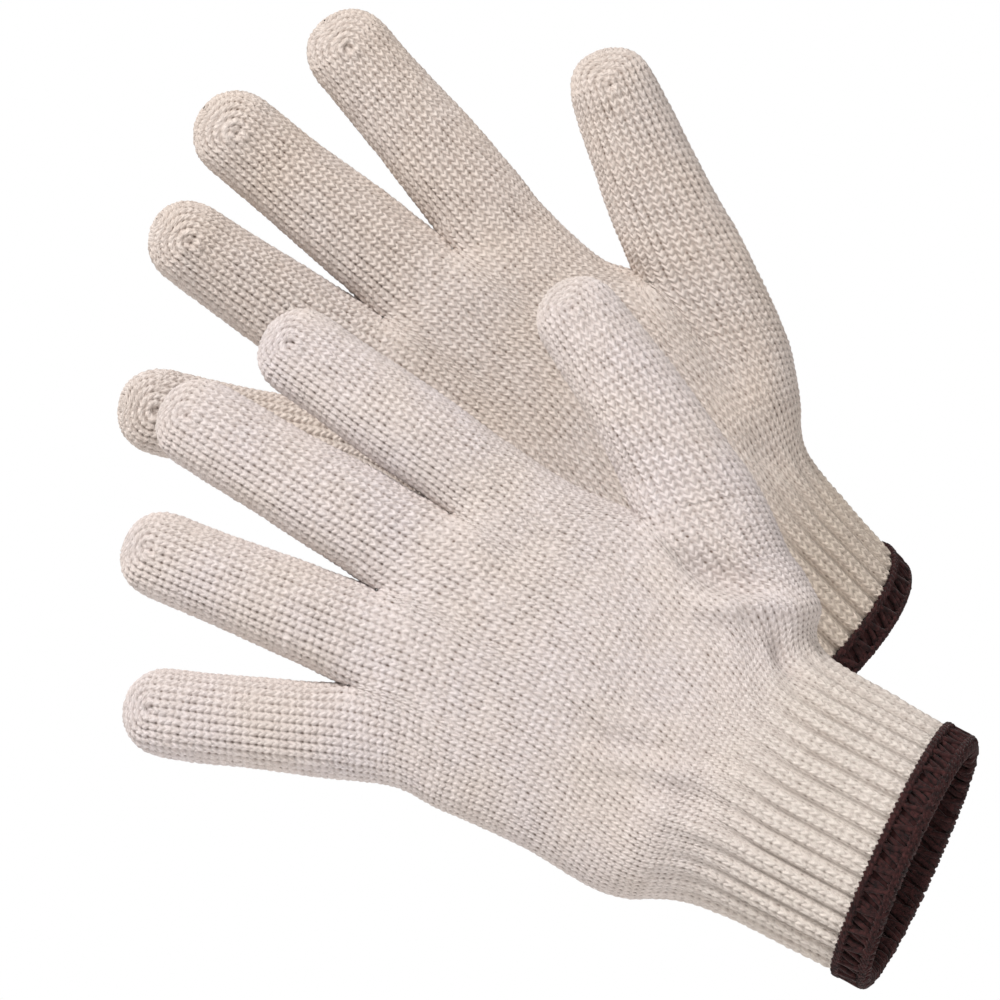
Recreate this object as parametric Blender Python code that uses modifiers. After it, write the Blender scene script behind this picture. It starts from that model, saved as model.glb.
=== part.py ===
"""A pair of seamless string-knit work gloves in their worn shape, as hollow knitted sections.

Frame: origin at the middle of the left glove's cuff opening, +Z up, +X towards the wrists,
-Y on the side where the left glove shows its back and the right glove its palm.
Lengths below are in millimetres and are turned into metres when an object is made.
"""

import math

import bmesh
import bpy
import numpy as np

MM = 0.001

# Knit and joints
WALL = 1.8
GAP = 0.3
SEAM_GAP = 0.9  # between knitted sections whose rims lean towards each other
COLUMNS = 5  # facets across one side of one finger
FINGER_POWER = 2.3
PALM_POWER = 2.6
CROTCH_RADIUS = 12.0
STUB = 3.5  # knitted stub past a crotch, before the first bend
BEND_SHARE = 0.4  # place of the middle bend along a finger

# Cuff
RIBS = 32
RIB_HEIGHT = 0.5
BAND_WALL = 3.4
BAND_ROUND = 0.9
ELASTIC_RADIUS = 0.45
ELASTIC_TURNS = 3
ELASTIC_POINTS_PER_TURN = 18

# Half-depths of the hand, from the fingers to the cuff opening
PALM_HEAD_DEPTH = 11.3
PALM_FOOT_DEPTH = 14.5
WRIST_DEPTH = 22.0
CUFF_DEPTH = 25.5
THUMB_SET = 5.0  # how far the thumb stands towards the palm side

# Each digit: half-width at mid length and before the tip, and half-depth
DIGITS = {
    "index": {"mid": 12.4, "end": 11.9, "depth": 10.4},
    "middle": {"mid": 12.8, "end": 12.0, "depth": 10.6},
    "ring": {"mid": 12.3, "end": 11.5, "depth": 10.2},
    "little": {"mid": 12.0, "end": 11.8, "depth": 9.6},
    "thumb": {"mid": 13.6, "end": 11.6, "depth": 11.2},
}
FINGERS = ("index", "middle", "ring", "little")

# Outlines are (x, z) points in each glove's own plane, thumb side first.
# crotches run from the index's outer side, through the three gaps, to the little finger's.
LEFT = {
    "name": "left",
    "palm_side": 1.0,
    "palm_y": 11.0,
    "wrist_y": 8.9,
    "cuff_tilt": math.radians(-9),
    "wrist": ((-32, 59), (-67, -8)),
    "cuff_end": ((7, 36.5), (-23.5, -29.5)),
    "band_end": ((15, 32), (-15.5, -33.5)),
    "thumb_edge": ((-32, 59), (-30, 70), (-32, 79), (-37.5, 87), (-43, 101.5)),
    "little_edge": ((-67, -8), (-77.5, -10), (-91, -7), (-108, 3), (-122.5, 11)),
    "thumb_crotch": (-80, 97),
    "index_edge": ((-80, 97), (-97, 104), (-111, 114), (-117, 118)),
    "heel_edge": ((-122.5, 11), (-130.5, 13), (-144.5, 20), (-158.5, 22)),
    "crotches": ((-117, 118), (-133, 98), (-153.5, 76.5), (-161.5, 49.5), (-158.5, 22)),
    "tips": {
        "index": (-180.5, 147),
        "middle": (-209.5, 127),
        "ring": (-220, 89),
        "little": (-220.5, 43),
        "thumb": (-101, 159),
    },
    "bow": {"index": 0.0, "middle": 0.0, "ring": 0.0, "little": -0.5, "thumb": 1.0},
    "droop": {"index": 4.0, "middle": 5.0, "ring": 5.0, "little": 4.0, "thumb": 5.0},
}
RIGHT = {
    "name": "right",
    "palm_side": -1.0,
    "palm_y": 116.0,
    "wrist_y": 118.0,
    "cuff_tilt": math.radians(25),
    "wrist": ((-34, 114), (-88.5, 60.5)),
    "cuff_end": ((-8.5, 85.5), (-61, 35.5)),
    "band_end": ((-3.5, 80), (-56, 30.5)),
    "thumb_edge": ((-34, 114), (-33, 124.5), (-35, 139), (-38.5, 150), (-43, 161)),
    "little_edge": ((-88.5, 60.5), (-97, 61), (-109.5, 66), (-125, 76.5), (-138, 88.5)),
    "thumb_crotch": (-79, 163.5),
    "index_edge": ((-79, 163.5), (-90, 168), (-103.5, 182), (-109, 189)),
    "heel_edge": ((-138, 88.5), (-146, 93), (-157, 98.5), (-164.5, 99.5)),
    "crotches": ((-109, 189), (-132, 172.5), (-152, 153), (-162.5, 127), (-164.5, 99.5)),
    "tips": {
        "index": (-165.5, 233.5),
        "middle": (-198.5, 209),
        "ring": (-212, 178),
        "little": (-222.5, 127),
        "thumb": (-89.5, 225),
    },
    "bow": {"index": 0.0, "middle": 0.0, "ring": 0.0, "little": 0.0, "thumb": -1.0},
    "droop": {"index": 8.0, "middle": 12.0, "ring": 12.0, "little": 9.0, "thumb": 6.0},
}

KNIT_COLOUR = (0.78, 0.71, 0.62, 1.0)
RIB_COLOUR = (0.80, 0.73, 0.62, 1.0)
BAND_COLOUR = (0.045, 0.014, 0.016, 1.0)
ELASTIC_COLOUR = (0.72, 0.69, 0.62, 1.0)


# ---------------------------------------------------------------- curves and sections


def unit(vector):
    return np.asarray(vector, float) / np.linalg.norm(vector)


def smooth_curve(points, count):
    """Evenly spaced points on a Catmull-Rom curve through the given ones."""
    p = np.array(points, float)
    p = np.vstack([2 * p[0] - p[1], p, 2 * p[-1] - p[-2]])
    dense = []
    for a, b, c, d in zip(p, p[1:], p[2:], p[3:]):
        for t in np.linspace(0, 1, 20, endpoint=False):
            cubic = (3 * b - a - 3 * c + d) * t**3 + (2 * a - 5 * b + 4 * c - d) * t**2
            dense.append(0.5 * (cubic + (c - a) * t + 2 * b))
    dense = np.array(dense + [p[-2]])
    steps = np.linalg.norm(np.diff(dense, axis=0), axis=1)
    along = np.concatenate([[0], np.cumsum(steps)])
    wanted = np.linspace(0, along[-1], count)
    return np.column_stack([np.interp(wanted, along, dense[:, k]) for k in range(2)])


def across(columns, power):
    """Share of the width, and share of the depth, at each column of a rounded section's side."""
    angles = np.linspace(0, math.pi, columns + 1)
    cosine = np.cos(angles)
    width = 0.5 - 0.5 * np.sign(cosine) * np.abs(cosine) ** (2 / power)
    depth = np.abs(np.sin(angles)) ** (2 / power)
    depth[[0, -1]] = 0
    return width, depth


def chord(ends, shares):
    a, b = np.array(ends[0], float), np.array(ends[1], float)
    return a + (b - a) * np.asarray(shares)[:, None]


def coons(foot, head, side_a, side_b, r):
    """Row r, from 0 at the foot to 1 at the head, of a patch with the given four sides."""
    s = np.linspace(0, 1, len(foot))[:, None]
    rows = len(side_a) - 1
    bulge_a = side_a[round(r * rows)] - ((1 - r) * foot[0] + r * head[0])
    bulge_b = side_b[round(r * rows)] - ((1 - r) * foot[-1] + r * head[-1])
    return (1 - r) * foot + r * head + (1 - s) * bulge_a + s * bulge_b


def crotch_fill(distance):
    """From 0 at a crotch to 1 a crotch radius below it, along a quarter circle."""
    x = np.minimum(distance / CROTCH_RADIUS, 1)
    return 2 * x - x * x


def ring_of(plane, centre_y, half_depth, tilt=0.0, elbow=(0.0, 0.0)):
    """A closed loop: the -Y side from the thumb side across, then the +Y side back."""
    n = len(plane)
    y = np.broadcast_to(centre_y, n)
    middle = np.column_stack([plane[:, 0], y, plane[:, 1]])
    out = np.array([-math.sin(tilt) * elbow[0], math.cos(tilt), -math.sin(tilt) * elbow[1]])
    front = middle - half_depth[:, None] * out
    back = middle + half_depth[:, None] * out
    return np.vstack([front, back[-2:0:-1]])


# ---------------------------------------------------------------- the hand's rings


def section_length(glove, low, high):
    """Distance between the middles of two of the glove's cross lines."""
    return np.linalg.norm(np.mean(glove[high], axis=0) - np.mean(glove[low], axis=0))


def elbow_way(glove):
    """Unit direction in the glove's plane from the wrist to the forearm."""
    return unit(np.mean(glove["band_end"], axis=0) - np.mean(glove["wrist"], axis=0))


def cuff_ring(glove, share, columns, spread=0.0):
    """Ring of the cuff, share 0 at the wrist and 1 at the end of the rib, spread outwards."""
    width, depth = across(columns, 2.0)
    along = np.array(glove["wrist"], float) * (1 - share) + np.array(glove["cuff_end"], float) * share
    way = unit(along[1] - along[0])
    along = np.array([along[0] - way * spread, along[1] + way * spread])
    middle = along.mean(axis=0)
    start = np.mean(glove["wrist"], axis=0)
    y = glove["wrist_y"] + np.dot(middle - start, elbow_way(glove)) * math.tan(glove["cuff_tilt"])
    half = WRIST_DEPTH + (CUFF_DEPTH - WRIST_DEPTH) * share + spread
    return ring_of(chord(along, width), y, half * depth, glove["cuff_tilt"], elbow_way(glove))


def palm_rings(glove, rows):
    """Rings of the four-finger palm, from the thumb crotch's level to the finger crotches."""
    columns = 4 * COLUMNS
    width, depth = across(columns, PALM_POWER)
    foot = chord((glove["thumb_crotch"], glove["heel_edge"][0]), width)
    finger_width, finger_depth = across(COLUMNS, FINGER_POWER)
    head, tops = [], []
    for k, name in enumerate(FINGERS):
        points = chord(glove["crotches"][k : k + 2], finger_width)
        head.extend(points if k == 0 else points[1:])
        top = finger_depth * DIGITS[name]["depth"]
        tops.extend(top if k == 0 else top[1:])
    head, tops = np.array(head), np.array(tops)
    side_a = smooth_curve(glove["index_edge"], rows + 1)
    side_b = smooth_curve(glove["heel_edge"], rows + 1)
    rings = []
    for row in range(rows + 1):
        r = row / rows
        plane = coons(foot, head, side_a, side_b, r)
        fill = crotch_fill(np.linalg.norm(head - plane, axis=1))
        palm = (PALM_FOOT_DEPTH + (PALM_HEAD_DEPTH - PALM_FOOT_DEPTH) * r) * depth
        half = np.sqrt((1 - fill) * tops**2 + fill * palm**2)
        rings.append(ring_of(plane, glove["palm_y"], half))
    return rings


def hand_rings(glove, rows):
    """Rings of the lower hand, from the wrist to the level of the thumb crotch."""
    columns = 5 * COLUMNS
    width, depth = across(columns, 2.2)
    foot = chord(glove["wrist"], width)
    thumb_width, thumb_depth = across(COLUMNS, FINGER_POWER)
    palm_width, palm_depth = across(4 * COLUMNS, PALM_POWER)
    thumb = chord((glove["thumb_edge"][-1], glove["thumb_crotch"]), thumb_width)
    palm = chord((glove["thumb_crotch"], glove["little_edge"][-1]), palm_width)
    head = np.vstack([thumb, palm[1:]])
    tops = np.concatenate([thumb_depth * DIGITS["thumb"]["depth"], palm_depth[1:] * PALM_FOOT_DEPTH])
    set_over = np.concatenate([1 - thumb_width, np.zeros(4 * COLUMNS)])
    set_over = set_over * THUMB_SET * glove["palm_side"]
    side_a = smooth_curve(glove["thumb_edge"], rows + 1)
    side_b = smooth_curve(glove["little_edge"], rows + 1)
    rings = []
    for row in range(rows + 1):
        r = row / rows
        plane = coons(foot, head, side_a, side_b, r)
        fill = crotch_fill(np.linalg.norm(head - plane, axis=1))
        hand = (WRIST_DEPTH + (PALM_FOOT_DEPTH + 1 - WRIST_DEPTH) * math.sin(r * math.pi / 2)) * depth
        half = np.sqrt((1 - fill) * tops**2 + fill * hand**2)
        y = glove["wrist_y"] + (glove["palm_y"] - glove["wrist_y"]) * r + set_over * r
        tilt = glove["cuff_tilt"] * (1 - r) ** 2
        rings.append(ring_of(plane, y, half, tilt, elbow_way(glove)))
    return rings


# ---------------------------------------------------------------- the digits


def digit_base(glove, name):
    """The two points that a digit springs from, thumb side first."""
    if name == "thumb":
        return glove["thumb_edge"][-1], glove["thumb_crotch"]
    k = FINGERS.index(name)
    return glove["crotches"][k], glove["crotches"][k + 1]


def digit_axis(glove, name):
    """Start and end of a digit's centreline, in 3-D."""
    a, b = (np.array(p, float) for p in digit_base(glove, name))
    tip = np.array(glove["tips"][name], float)
    side = glove["palm_side"]
    start_y = glove["palm_y"] + (THUMB_SET / 2 * side if name == "thumb" else 0)
    middle = (a + b) / 2
    start = np.array([middle[0], start_y, middle[1]])
    end = np.array([tip[0], start_y + glove["droop"][name] * side, tip[1]])
    return start, end


def digit_frame(glove, name, t):
    """Centre, sideways direction and depth direction of a digit's section at share t."""
    start, end = digit_axis(glove, name)
    way = unit([end[0] - start[0], 0, end[2] - start[2]])
    sideways = np.array([way[2], 0, -way[0]])  # towards the thumb side
    droop = end[1] - start[1]
    bow = glove["bow"][name]
    centre = start + (end - start) * t + sideways * bow * 4 * t * (1 - t)
    centre[1] = start[1] + droop * t * t
    length = np.linalg.norm((end - start)[[0, 2]])
    slope = way + sideways * bow * 4 * (1 - 2 * t) / length
    slope[1] = 2 * droop * t / length
    slope = unit(slope)
    across_way = unit(np.cross([0, 1, 0], slope))
    if np.dot(across_way, sideways) < 0:
        across_way = -across_way
    depth_way = np.cross(slope, across_way)
    if depth_way[1] < 0:
        depth_way = -depth_way
    return centre, across_way, depth_way


def base_width(glove, name):
    """Half-width of a digit where it leaves the hand, a little inside its two crotches."""
    a, b = (np.array(p, float) for p in digit_base(glove, name))
    _, sideways, _ = digit_frame(glove, name, 0.0)
    return abs(np.dot(a - b, sideways[[0, 2]])) / 2 - 0.5


def digit_ring(glove, name, t):
    """Ring of a digit at share t of its length, with the tip domed."""
    digit = DIGITS[name]
    start, end = digit_axis(glove, name)
    length = np.linalg.norm(end - start)
    base = base_width(glove, name)
    half = np.interp(t, [0, 0.45, 0.85, 1], [base, digit["mid"], digit["end"], digit["end"]])
    depth = digit["depth"] * np.interp(t, [0, 0.5, 1], [1, 0.98, 0.92])
    dome = digit["end"] * 1.05
    past = max(0.0, (t - 1) * length + dome) / dome
    shrink = max(0.0, 1 - past**2.2) ** (1 / 2.2)
    centre, sideways, depth_way = digit_frame(glove, name, t)
    width_share, depth_share = across(COLUMNS, FINGER_POWER)
    side = half * shrink * (1 - 2 * width_share)[:, None] * sideways
    front = centre + side - depth * shrink * depth_share[:, None] * depth_way
    back = centre + side + depth * shrink * depth_share[:, None] * depth_way
    return np.vstack([front, back[-2:0:-1]])


def bend_places(glove, name):
    """Shares of the length at which a digit bends: where it leaves the hand, and half-way."""
    start, end = digit_axis(glove, name)
    length = np.linalg.norm(end - start)
    way = unit((end - start)[[0, 2]])
    reach = max(np.dot(np.array(p) - start[[0, 2]], way) for p in digit_base(glove, name))
    first = (reach + STUB) / length
    return first, first + BEND_SHARE * (1 - first)


def bend_axis(glove, name, t):
    """Point and direction of the hinge at share t, just outside the palm-side wall."""
    centre, sideways, depth_way = digit_frame(glove, name, t)
    ring = digit_ring(glove, name, t)
    palm_way = depth_way * glove["palm_side"]
    reach = ((ring - centre) @ palm_way).max() + GAP
    return centre + palm_way * reach, sideways


# ---------------------------------------------------------------- making objects


def material(name, colour, roughness):
    made = bpy.data.materials.new(name)
    made.use_nodes = True
    shader = made.node_tree.nodes["Principled BSDF"]
    shader.inputs["Base Color"].default_value = colour
    shader.inputs["Roughness"].default_value = roughness
    shader.inputs["Metallic"].default_value = 0.0
    return made


def add_loft(bm, rings):
    """Quads between successive rings of vertices."""
    for low, high in zip(rings, rings[1:]):
        count = len(low)
        for i in range(count):
            j = (i + 1) % count
            bm.faces.new((low[i], high[i], high[j], low[j]))


def vertices(bm, ring, origin):
    return [bm.verts.new((point - origin) * MM) for point in ring]


def finish_object(name, bm, origin, look, collection, shell=True):
    """Turns the mesh into a named object standing at its origin, as a shell if asked."""
    mesh = bpy.data.meshes.new(name)
    bm.to_mesh(mesh)
    bm.free()
    mesh.shade_smooth()
    mesh.materials.append(look)
    made = bpy.data.objects.new(name, mesh)
    made.location = origin * MM
    collection.objects.link(made)
    if shell:
        solidify = made.modifiers.new("Knit thickness", "SOLIDIFY")
        solidify.thickness = WALL * MM
        solidify.offset = -1.0
    return made


def sub_ring(ring, first, last):
    """The loop of one digit, cut out of a split hand ring between two of its columns."""
    back = [ring[len(ring) - k] for k in range(last - 1, first, -1)]
    return ring[first : last + 1] + back


def merged_vertices(bm, ring, crotches, origin):
    """Vertices of a split ring, where each crotch's two sides are one vertex."""
    made = vertices(bm, ring, origin)
    for crotch in crotches:
        twin = made[len(ring) - crotch]
        bm.verts.remove(twin)
        made[len(ring) - crotch] = made[crotch]
    return made


def make_palm(glove, look, collection):
    """The four-finger section: a tube that splits into four short stubs."""
    rows = 5
    rings = palm_rings(glove, rows)
    way = unit(np.mean(glove["crotches"], axis=0) - np.mean(glove["wrist"], axis=0))
    rings[0] = rings[0] + SEAM_GAP * np.array([way[0], 0, way[1]])
    bm = bmesh.new()
    origin = np.zeros(3)
    made = [vertices(bm, ring, origin) for ring in rings[:-1]]
    crotches = [COLUMNS * k for k in (1, 2, 3)]
    made.append(merged_vertices(bm, rings[-1], crotches, origin))
    add_loft(bm, made)
    for k, name in enumerate(FINGERS):
        add_stub(bm, glove, name, sub_ring(made[-1], k * COLUMNS, (k + 1) * COLUMNS))
    return finish_object(f"{glove['name']}_palm", bm, origin, look, collection)


def make_hand(glove, look, collection):
    """The five-finger section: from the wrist to the thumb crotch, with the thumb's stub."""
    rows = 6
    rings = hand_rings(glove, rows)
    bm = bmesh.new()
    origin = np.zeros(3)
    made = [vertices(bm, ring, origin) for ring in rings[:-1]]
    made.append(merged_vertices(bm, rings[-1], [COLUMNS], origin))
    add_loft(bm, made)
    add_stub(bm, glove, "thumb", sub_ring(made[-1], 0, COLUMNS))
    return finish_object(f"{glove['name']}_hand", bm, origin, look, collection)


def add_stub(bm, glove, name, base):
    """The short tube of a digit that belongs to the hand, up to its first bend."""
    start, end = digit_axis(glove, name)
    first, _ = bend_places(glove, name)
    first = first - GAP / 2 / np.linalg.norm(end - start)
    add_loft(bm, [base, vertices(bm, digit_ring(glove, name, first), np.zeros(3))])


def make_segment(glove, name, part, look, collection):
    """One half of a digit, between its bends or from the second bend to the tip."""
    start, end = digit_axis(glove, name)
    half_gap = GAP / 2 / np.linalg.norm(end - start)
    first, second = bend_places(glove, name)
    place = first if part == "base" else second
    origin, _ = bend_axis(glove, name, place)
    if part == "base":
        shares = [first + half_gap, (first + second) / 2, second - half_gap]
    else:
        shares = [second + half_gap, (2 * second + 1) / 3, 0.85, 0.93, 0.975]
    bm = bmesh.new()
    rings = [vertices(bm, digit_ring(glove, name, t), origin) for t in shares]
    add_loft(bm, rings)
    if part == "tip":
        point = bm.verts.new((digit_frame(glove, name, 1.0)[0] - origin) * MM)
        last = rings[-1]
        for i, vertex in enumerate(last):
            bm.faces.new((vertex, point, last[(i + 1) % len(last)]))
    label = f"{glove['name']}_{name}_{part}"
    return finish_object(label, bm, origin, look, collection)


def make_cuff(glove, look, collection):
    """The ribbed tube between the wrist and the overlocked edge."""
    bm = bmesh.new()
    origin = np.zeros(3)
    rings = []
    for share in np.linspace(1, SEAM_GAP / section_length(glove, "wrist", "cuff_end"), 4):
        ring = cuff_ring(glove, share, RIBS)
        grown = cuff_ring(glove, share, RIBS, RIB_HEIGHT)
        ring[::2] = grown[::2]
        rings.append(vertices(bm, ring, origin))
    add_loft(bm, rings)
    return finish_object(f"{glove['name']}_cuff", bm, origin, look, collection)


def make_band(glove, look, collection):
    """The overlocked edge: a rounded hoop of thread past the end of the rib."""
    half = BAND_WALL / 2
    rib_length = section_length(glove, "wrist", "cuff_end")
    low, high = GAP, section_length(glove, "cuff_end", "band_end")
    profile = [
        (low, -half + BAND_ROUND),
        (low + BAND_ROUND, -half),
        (high - BAND_ROUND, -half),
        (high, -half + BAND_ROUND),
        (high, half - BAND_ROUND),
        (high - BAND_ROUND, half),
        (low + BAND_ROUND, half),
        (low, half - BAND_ROUND),
    ]
    bm = bmesh.new()
    origin = np.zeros(3)
    rings = []
    for along, out in profile:
        share = 1 + along / rib_length
        rings.append(vertices(bm, cuff_ring(glove, share, 24, out - WALL / 2), origin))
    add_loft(bm, rings + [rings[0]])
    bmesh.ops.recalc_face_normals(bm, faces=bm.faces)
    return finish_object(f"{glove['name']}_overlock_edge", bm, origin, look, collection, shell=False)


def make_elastic(glove, look, collection):
    """The covered rubber thread, wound inside the rib."""
    inset = -(WALL + GAP + ELASTIC_RADIUS + 0.4)
    count = ELASTIC_TURNS * ELASTIC_POINTS_PER_TURN
    points = []
    for k in range(count + 1):
        share = 0.25 + 0.5 * k / count
        ring = cuff_ring(glove, share, ELASTIC_POINTS_PER_TURN // 2, inset)
        points.append(ring[k % ELASTIC_POINTS_PER_TURN] * MM)
    curve = bpy.data.curves.new("Elastic", "CURVE")
    curve.dimensions = "3D"
    curve.bevel_depth = ELASTIC_RADIUS * MM
    curve.bevel_resolution = 0
    curve.use_fill_caps = True
    spline = curve.splines.new("POLY")
    spline.points.add(len(points) - 1)
    for control, point in zip(spline.points, points):
        control.co = (*point, 1.0)
    curve.materials.append(look)
    made = bpy.data.objects.new(f"{glove['name']}_elastic_thread", curve)
    collection.objects.link(made)
    return made


def hang_under(child, parent):
    """Parents the child and keeps its place in the world."""
    child.location = child.location - parent.matrix_world.translation
    child.parent = parent
    bpy.context.view_layer.update()


def make_glove(glove, collection, looks):
    parts = [
        make_band(glove, looks["band"], collection),
        make_cuff(glove, looks["rib"], collection),
        make_elastic(glove, looks["elastic"], collection),
        make_hand(glove, looks["knit"], collection),
        make_palm(glove, looks["knit"], collection),
    ]
    for name in ("thumb",) + FINGERS:
        base = make_segment(glove, name, "base", looks["knit"], collection)
        tip = make_segment(glove, name, "tip", looks["knit"], collection)
        bpy.context.view_layer.update()
        hang_under(tip, base)
        parts.append(base)
    empty = bpy.data.objects.new(f"{glove['name']}_glove", None)
    middle = np.mean(glove["band_end"], axis=0)
    end_y = cuff_ring(glove, 1.0, 8)[:, 1].mean()
    empty.location = np.array([middle[0], end_y, middle[1]]) * MM
    collection.objects.link(empty)
    bpy.context.view_layer.update()
    for part in parts:
        hang_under(part, empty)


def main():
    for old in list(bpy.data.objects):
        bpy.data.objects.remove(old, do_unlink=True)
    collection = bpy.data.collections.new("Work gloves")
    bpy.context.scene.collection.children.link(collection)
    looks = {
        "knit": material("Cotton knit", KNIT_COLOUR, 0.95),
        "rib": material("Cotton rib", RIB_COLOUR, 0.95),
        "band": material("Overlock thread", BAND_COLOUR, 0.9),
        "elastic": material("Elastic thread", ELASTIC_COLOUR, 0.8),
    }
    for glove in (LEFT, RIGHT):
        make_glove(glove, collection, looks)


main()
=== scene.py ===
"""Looks of a pair of seamless string-knit work gloves, knitted stitch by stitch around the frame.

Each glove is a net of wales (columns of stitches) and courses (rows of stitches). The net is laid
out coarsely, one point per stitch, smoothed across the seams between its sections, and then cut
finer so that every stitch gets its two raised yarn legs. Lengths are in millimetres until a mesh
is made.
"""

import math

import bpy
import numpy as np
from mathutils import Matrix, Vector


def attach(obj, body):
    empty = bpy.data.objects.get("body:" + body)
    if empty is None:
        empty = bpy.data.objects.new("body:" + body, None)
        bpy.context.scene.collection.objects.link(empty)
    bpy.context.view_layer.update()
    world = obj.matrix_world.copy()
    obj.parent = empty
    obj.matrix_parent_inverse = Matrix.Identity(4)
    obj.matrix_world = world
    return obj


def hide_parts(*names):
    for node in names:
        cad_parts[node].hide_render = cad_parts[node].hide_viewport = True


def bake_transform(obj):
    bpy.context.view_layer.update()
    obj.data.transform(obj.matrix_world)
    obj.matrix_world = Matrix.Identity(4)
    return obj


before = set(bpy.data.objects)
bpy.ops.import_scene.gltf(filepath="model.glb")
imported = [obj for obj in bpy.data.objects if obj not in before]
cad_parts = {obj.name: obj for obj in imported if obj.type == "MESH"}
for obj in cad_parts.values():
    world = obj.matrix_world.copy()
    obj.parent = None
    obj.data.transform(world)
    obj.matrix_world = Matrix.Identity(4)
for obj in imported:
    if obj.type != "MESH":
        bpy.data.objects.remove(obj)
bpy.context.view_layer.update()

MM = 0.001

# ---------------------------------------------------------------- sizes of the gloves

WALL = 1.8
FINGER_POWER = 2.3
PALM_POWER = 2.6
CROTCH_RADIUS = 12.0
STUB = 3.5
BEND_SHARE = 0.4
BAND_WALL = 3.4
PALM_HEAD_DEPTH = 11.3
PALM_FOOT_DEPTH = 14.5
WRIST_DEPTH = 22.0
CUFF_DEPTH = 25.5
THUMB_SET = 5.0

FINGERS = ("index", "middle", "ring", "little")
DIGITS = {
    "index": {"mid": 12.4, "end": 11.9, "depth": 10.4, "front": 13, "outer": 4},
    "middle": {"mid": 12.8, "end": 12.0, "depth": 10.6, "front": 12, "outer": 4},
    "ring": {"mid": 12.3, "end": 11.5, "depth": 10.2, "front": 12, "outer": 4},
    "little": {"mid": 12.0, "end": 11.8, "depth": 9.6, "front": 13, "outer": 4},
    "thumb": {"mid": 13.6, "end": 11.6, "depth": 11.2, "front": 14, "outer": 0},
}

# Outlines are (x, z) points in each glove's own plane, thumb side first.
LEFT = {
    "name": "left",
    "palm_side": 1.0,
    "palm_y": 11.0,
    "wrist_y": 8.9,
    "cuff_tilt": math.radians(-9),
    "wrist": ((-32, 59), (-67, -8)),
    "cuff_end": ((7, 36.5), (-23.5, -29.5)),
    "band_end": ((15, 32), (-15.5, -33.5)),
    "thumb_edge": ((-32, 59), (-30, 70), (-32, 79), (-37.5, 87), (-43, 101.5)),
    "little_edge": ((-67, -8), (-77.5, -10), (-91, -7), (-108, 3), (-122.5, 11)),
    "thumb_crotch": (-80, 97),
    "index_edge": ((-80, 97), (-97, 104), (-111, 114), (-117, 118)),
    "heel_edge": ((-122.5, 11), (-130.5, 13), (-144.5, 20), (-158.5, 22)),
    "crotches": ((-117, 118), (-133, 98), (-153.5, 76.5), (-161.5, 49.5), (-158.5, 22)),
    "tips": {
        "index": (-180.5, 147),
        "middle": (-209.5, 127),
        "ring": (-220, 89),
        "little": (-220.5, 43),
        "thumb": (-101, 159),
    },
    "bow": {"index": 0.0, "middle": 0.0, "ring": 0.0, "little": -0.5, "thumb": 1.0},
    "droop": {"index": 4.0, "middle": 5.0, "ring": 5.0, "little": 4.0, "thumb": 5.0},
    # x, z, half-length, half-width, lean in degrees, height
    "folds": (
        (-46, 70.5, 15, 3.7, 0, 4.2),
        (-55, 79, 14, 4.2, -22, -4.4),
        (-36, 67, 8, 7, 0, 2.4),
        (-38, 57, 8, 3.2, -62, -4.2),
        (-46, 56, 10, 3, -75, -1.2),
        (-50, 90, 15, 7, -50, 1.0),
        (-74, 8, 16, 9, 60, 2.0),
        (-62, 22, 14, 5, 65, -1.6),
        (-95, 60, 22, 12, 20, 0.9),
        (-112, 84, 16, 6, 35, -0.8),
        (-75, 26, 19, 3.6, -10, 1.7),
        (-78, 32, 18, 3.4, -12, -1.5),
        (-67, 11, 14, 3.6, -25, 1.7),
        (-64, 17, 13, 3.2, -27, -1.6),
    ),
}
RIGHT = {
    "name": "right",
    "palm_side": -1.0,
    "palm_y": 116.0,
    "wrist_y": 118.0,
    "cuff_tilt": math.radians(25),
    "wrist": ((-34, 114), (-88.5, 60.5)),
    "cuff_end": ((-8.5, 85.5), (-61, 35.5)),
    "band_end": ((-3.5, 80), (-56, 30.5)),
    "thumb_edge": ((-34, 114), (-33, 124.5), (-35, 139), (-38.5, 150), (-43, 161)),
    "little_edge": ((-88.5, 60.5), (-97, 61), (-109.5, 66), (-125, 76.5), (-138, 88.5)),
    "thumb_crotch": (-79, 163.5),
    "index_edge": ((-79, 163.5), (-90, 168), (-103.5, 182), (-109, 189)),
    "heel_edge": ((-138, 88.5), (-146, 93), (-157, 98.5), (-164.5, 99.5)),
    "crotches": ((-109, 189), (-132, 172.5), (-152, 153), (-162.5, 127), (-164.5, 99.5)),
    "tips": {
        "index": (-165.5, 233.5),
        "middle": (-198.5, 209),
        "ring": (-212, 178),
        "little": (-222.5, 127),
        "thumb": (-89.5, 225),
    },
    "bow": {"index": 0.0, "middle": 0.0, "ring": 0.0, "little": 0.0, "thumb": -1.0},
    "droop": {"index": 8.0, "middle": 12.0, "ring": 12.0, "little": 9.0, "thumb": 6.0},
    "folds": (
        (-45, 128, 11, 7, 60, 1.6),
        (-42, 112, 9, 3.5, -40, -1.8),
        (-70, 150, 16, 7, -60, 1.4),
        (-100, 140, 18, 10, -50, -1.2),
        (-120, 160, 12, 6, 30, 0.8),
    ),
}

# ---------------------------------------------------------------- the knit

SUB_U = 6  # mesh columns in one stitch
SUB_V = 5  # mesh rows in one stitch
COURSE = 2.1
HAND_WALES = 128
PALM_WALES = 104
RIBS = 32
CUFF_COURSES = 17
HAND_COURSES = 28
PALM_COURSES = 22
WEB = 4  # wales across the bridge between two digits
THUMB_FRONT = 14  # wales on the thumb's front, which are the hand's first ones
THUMB_BACK = THUMB_FRONT + WEB
PALM_OPEN = PALM_WALES - WEB  # the palm's last wale that continues one of the hand's
HAND_BACK = THUMB_FRONT + PALM_OPEN  # the hand's wale at the back of the thumb's crotch
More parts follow.
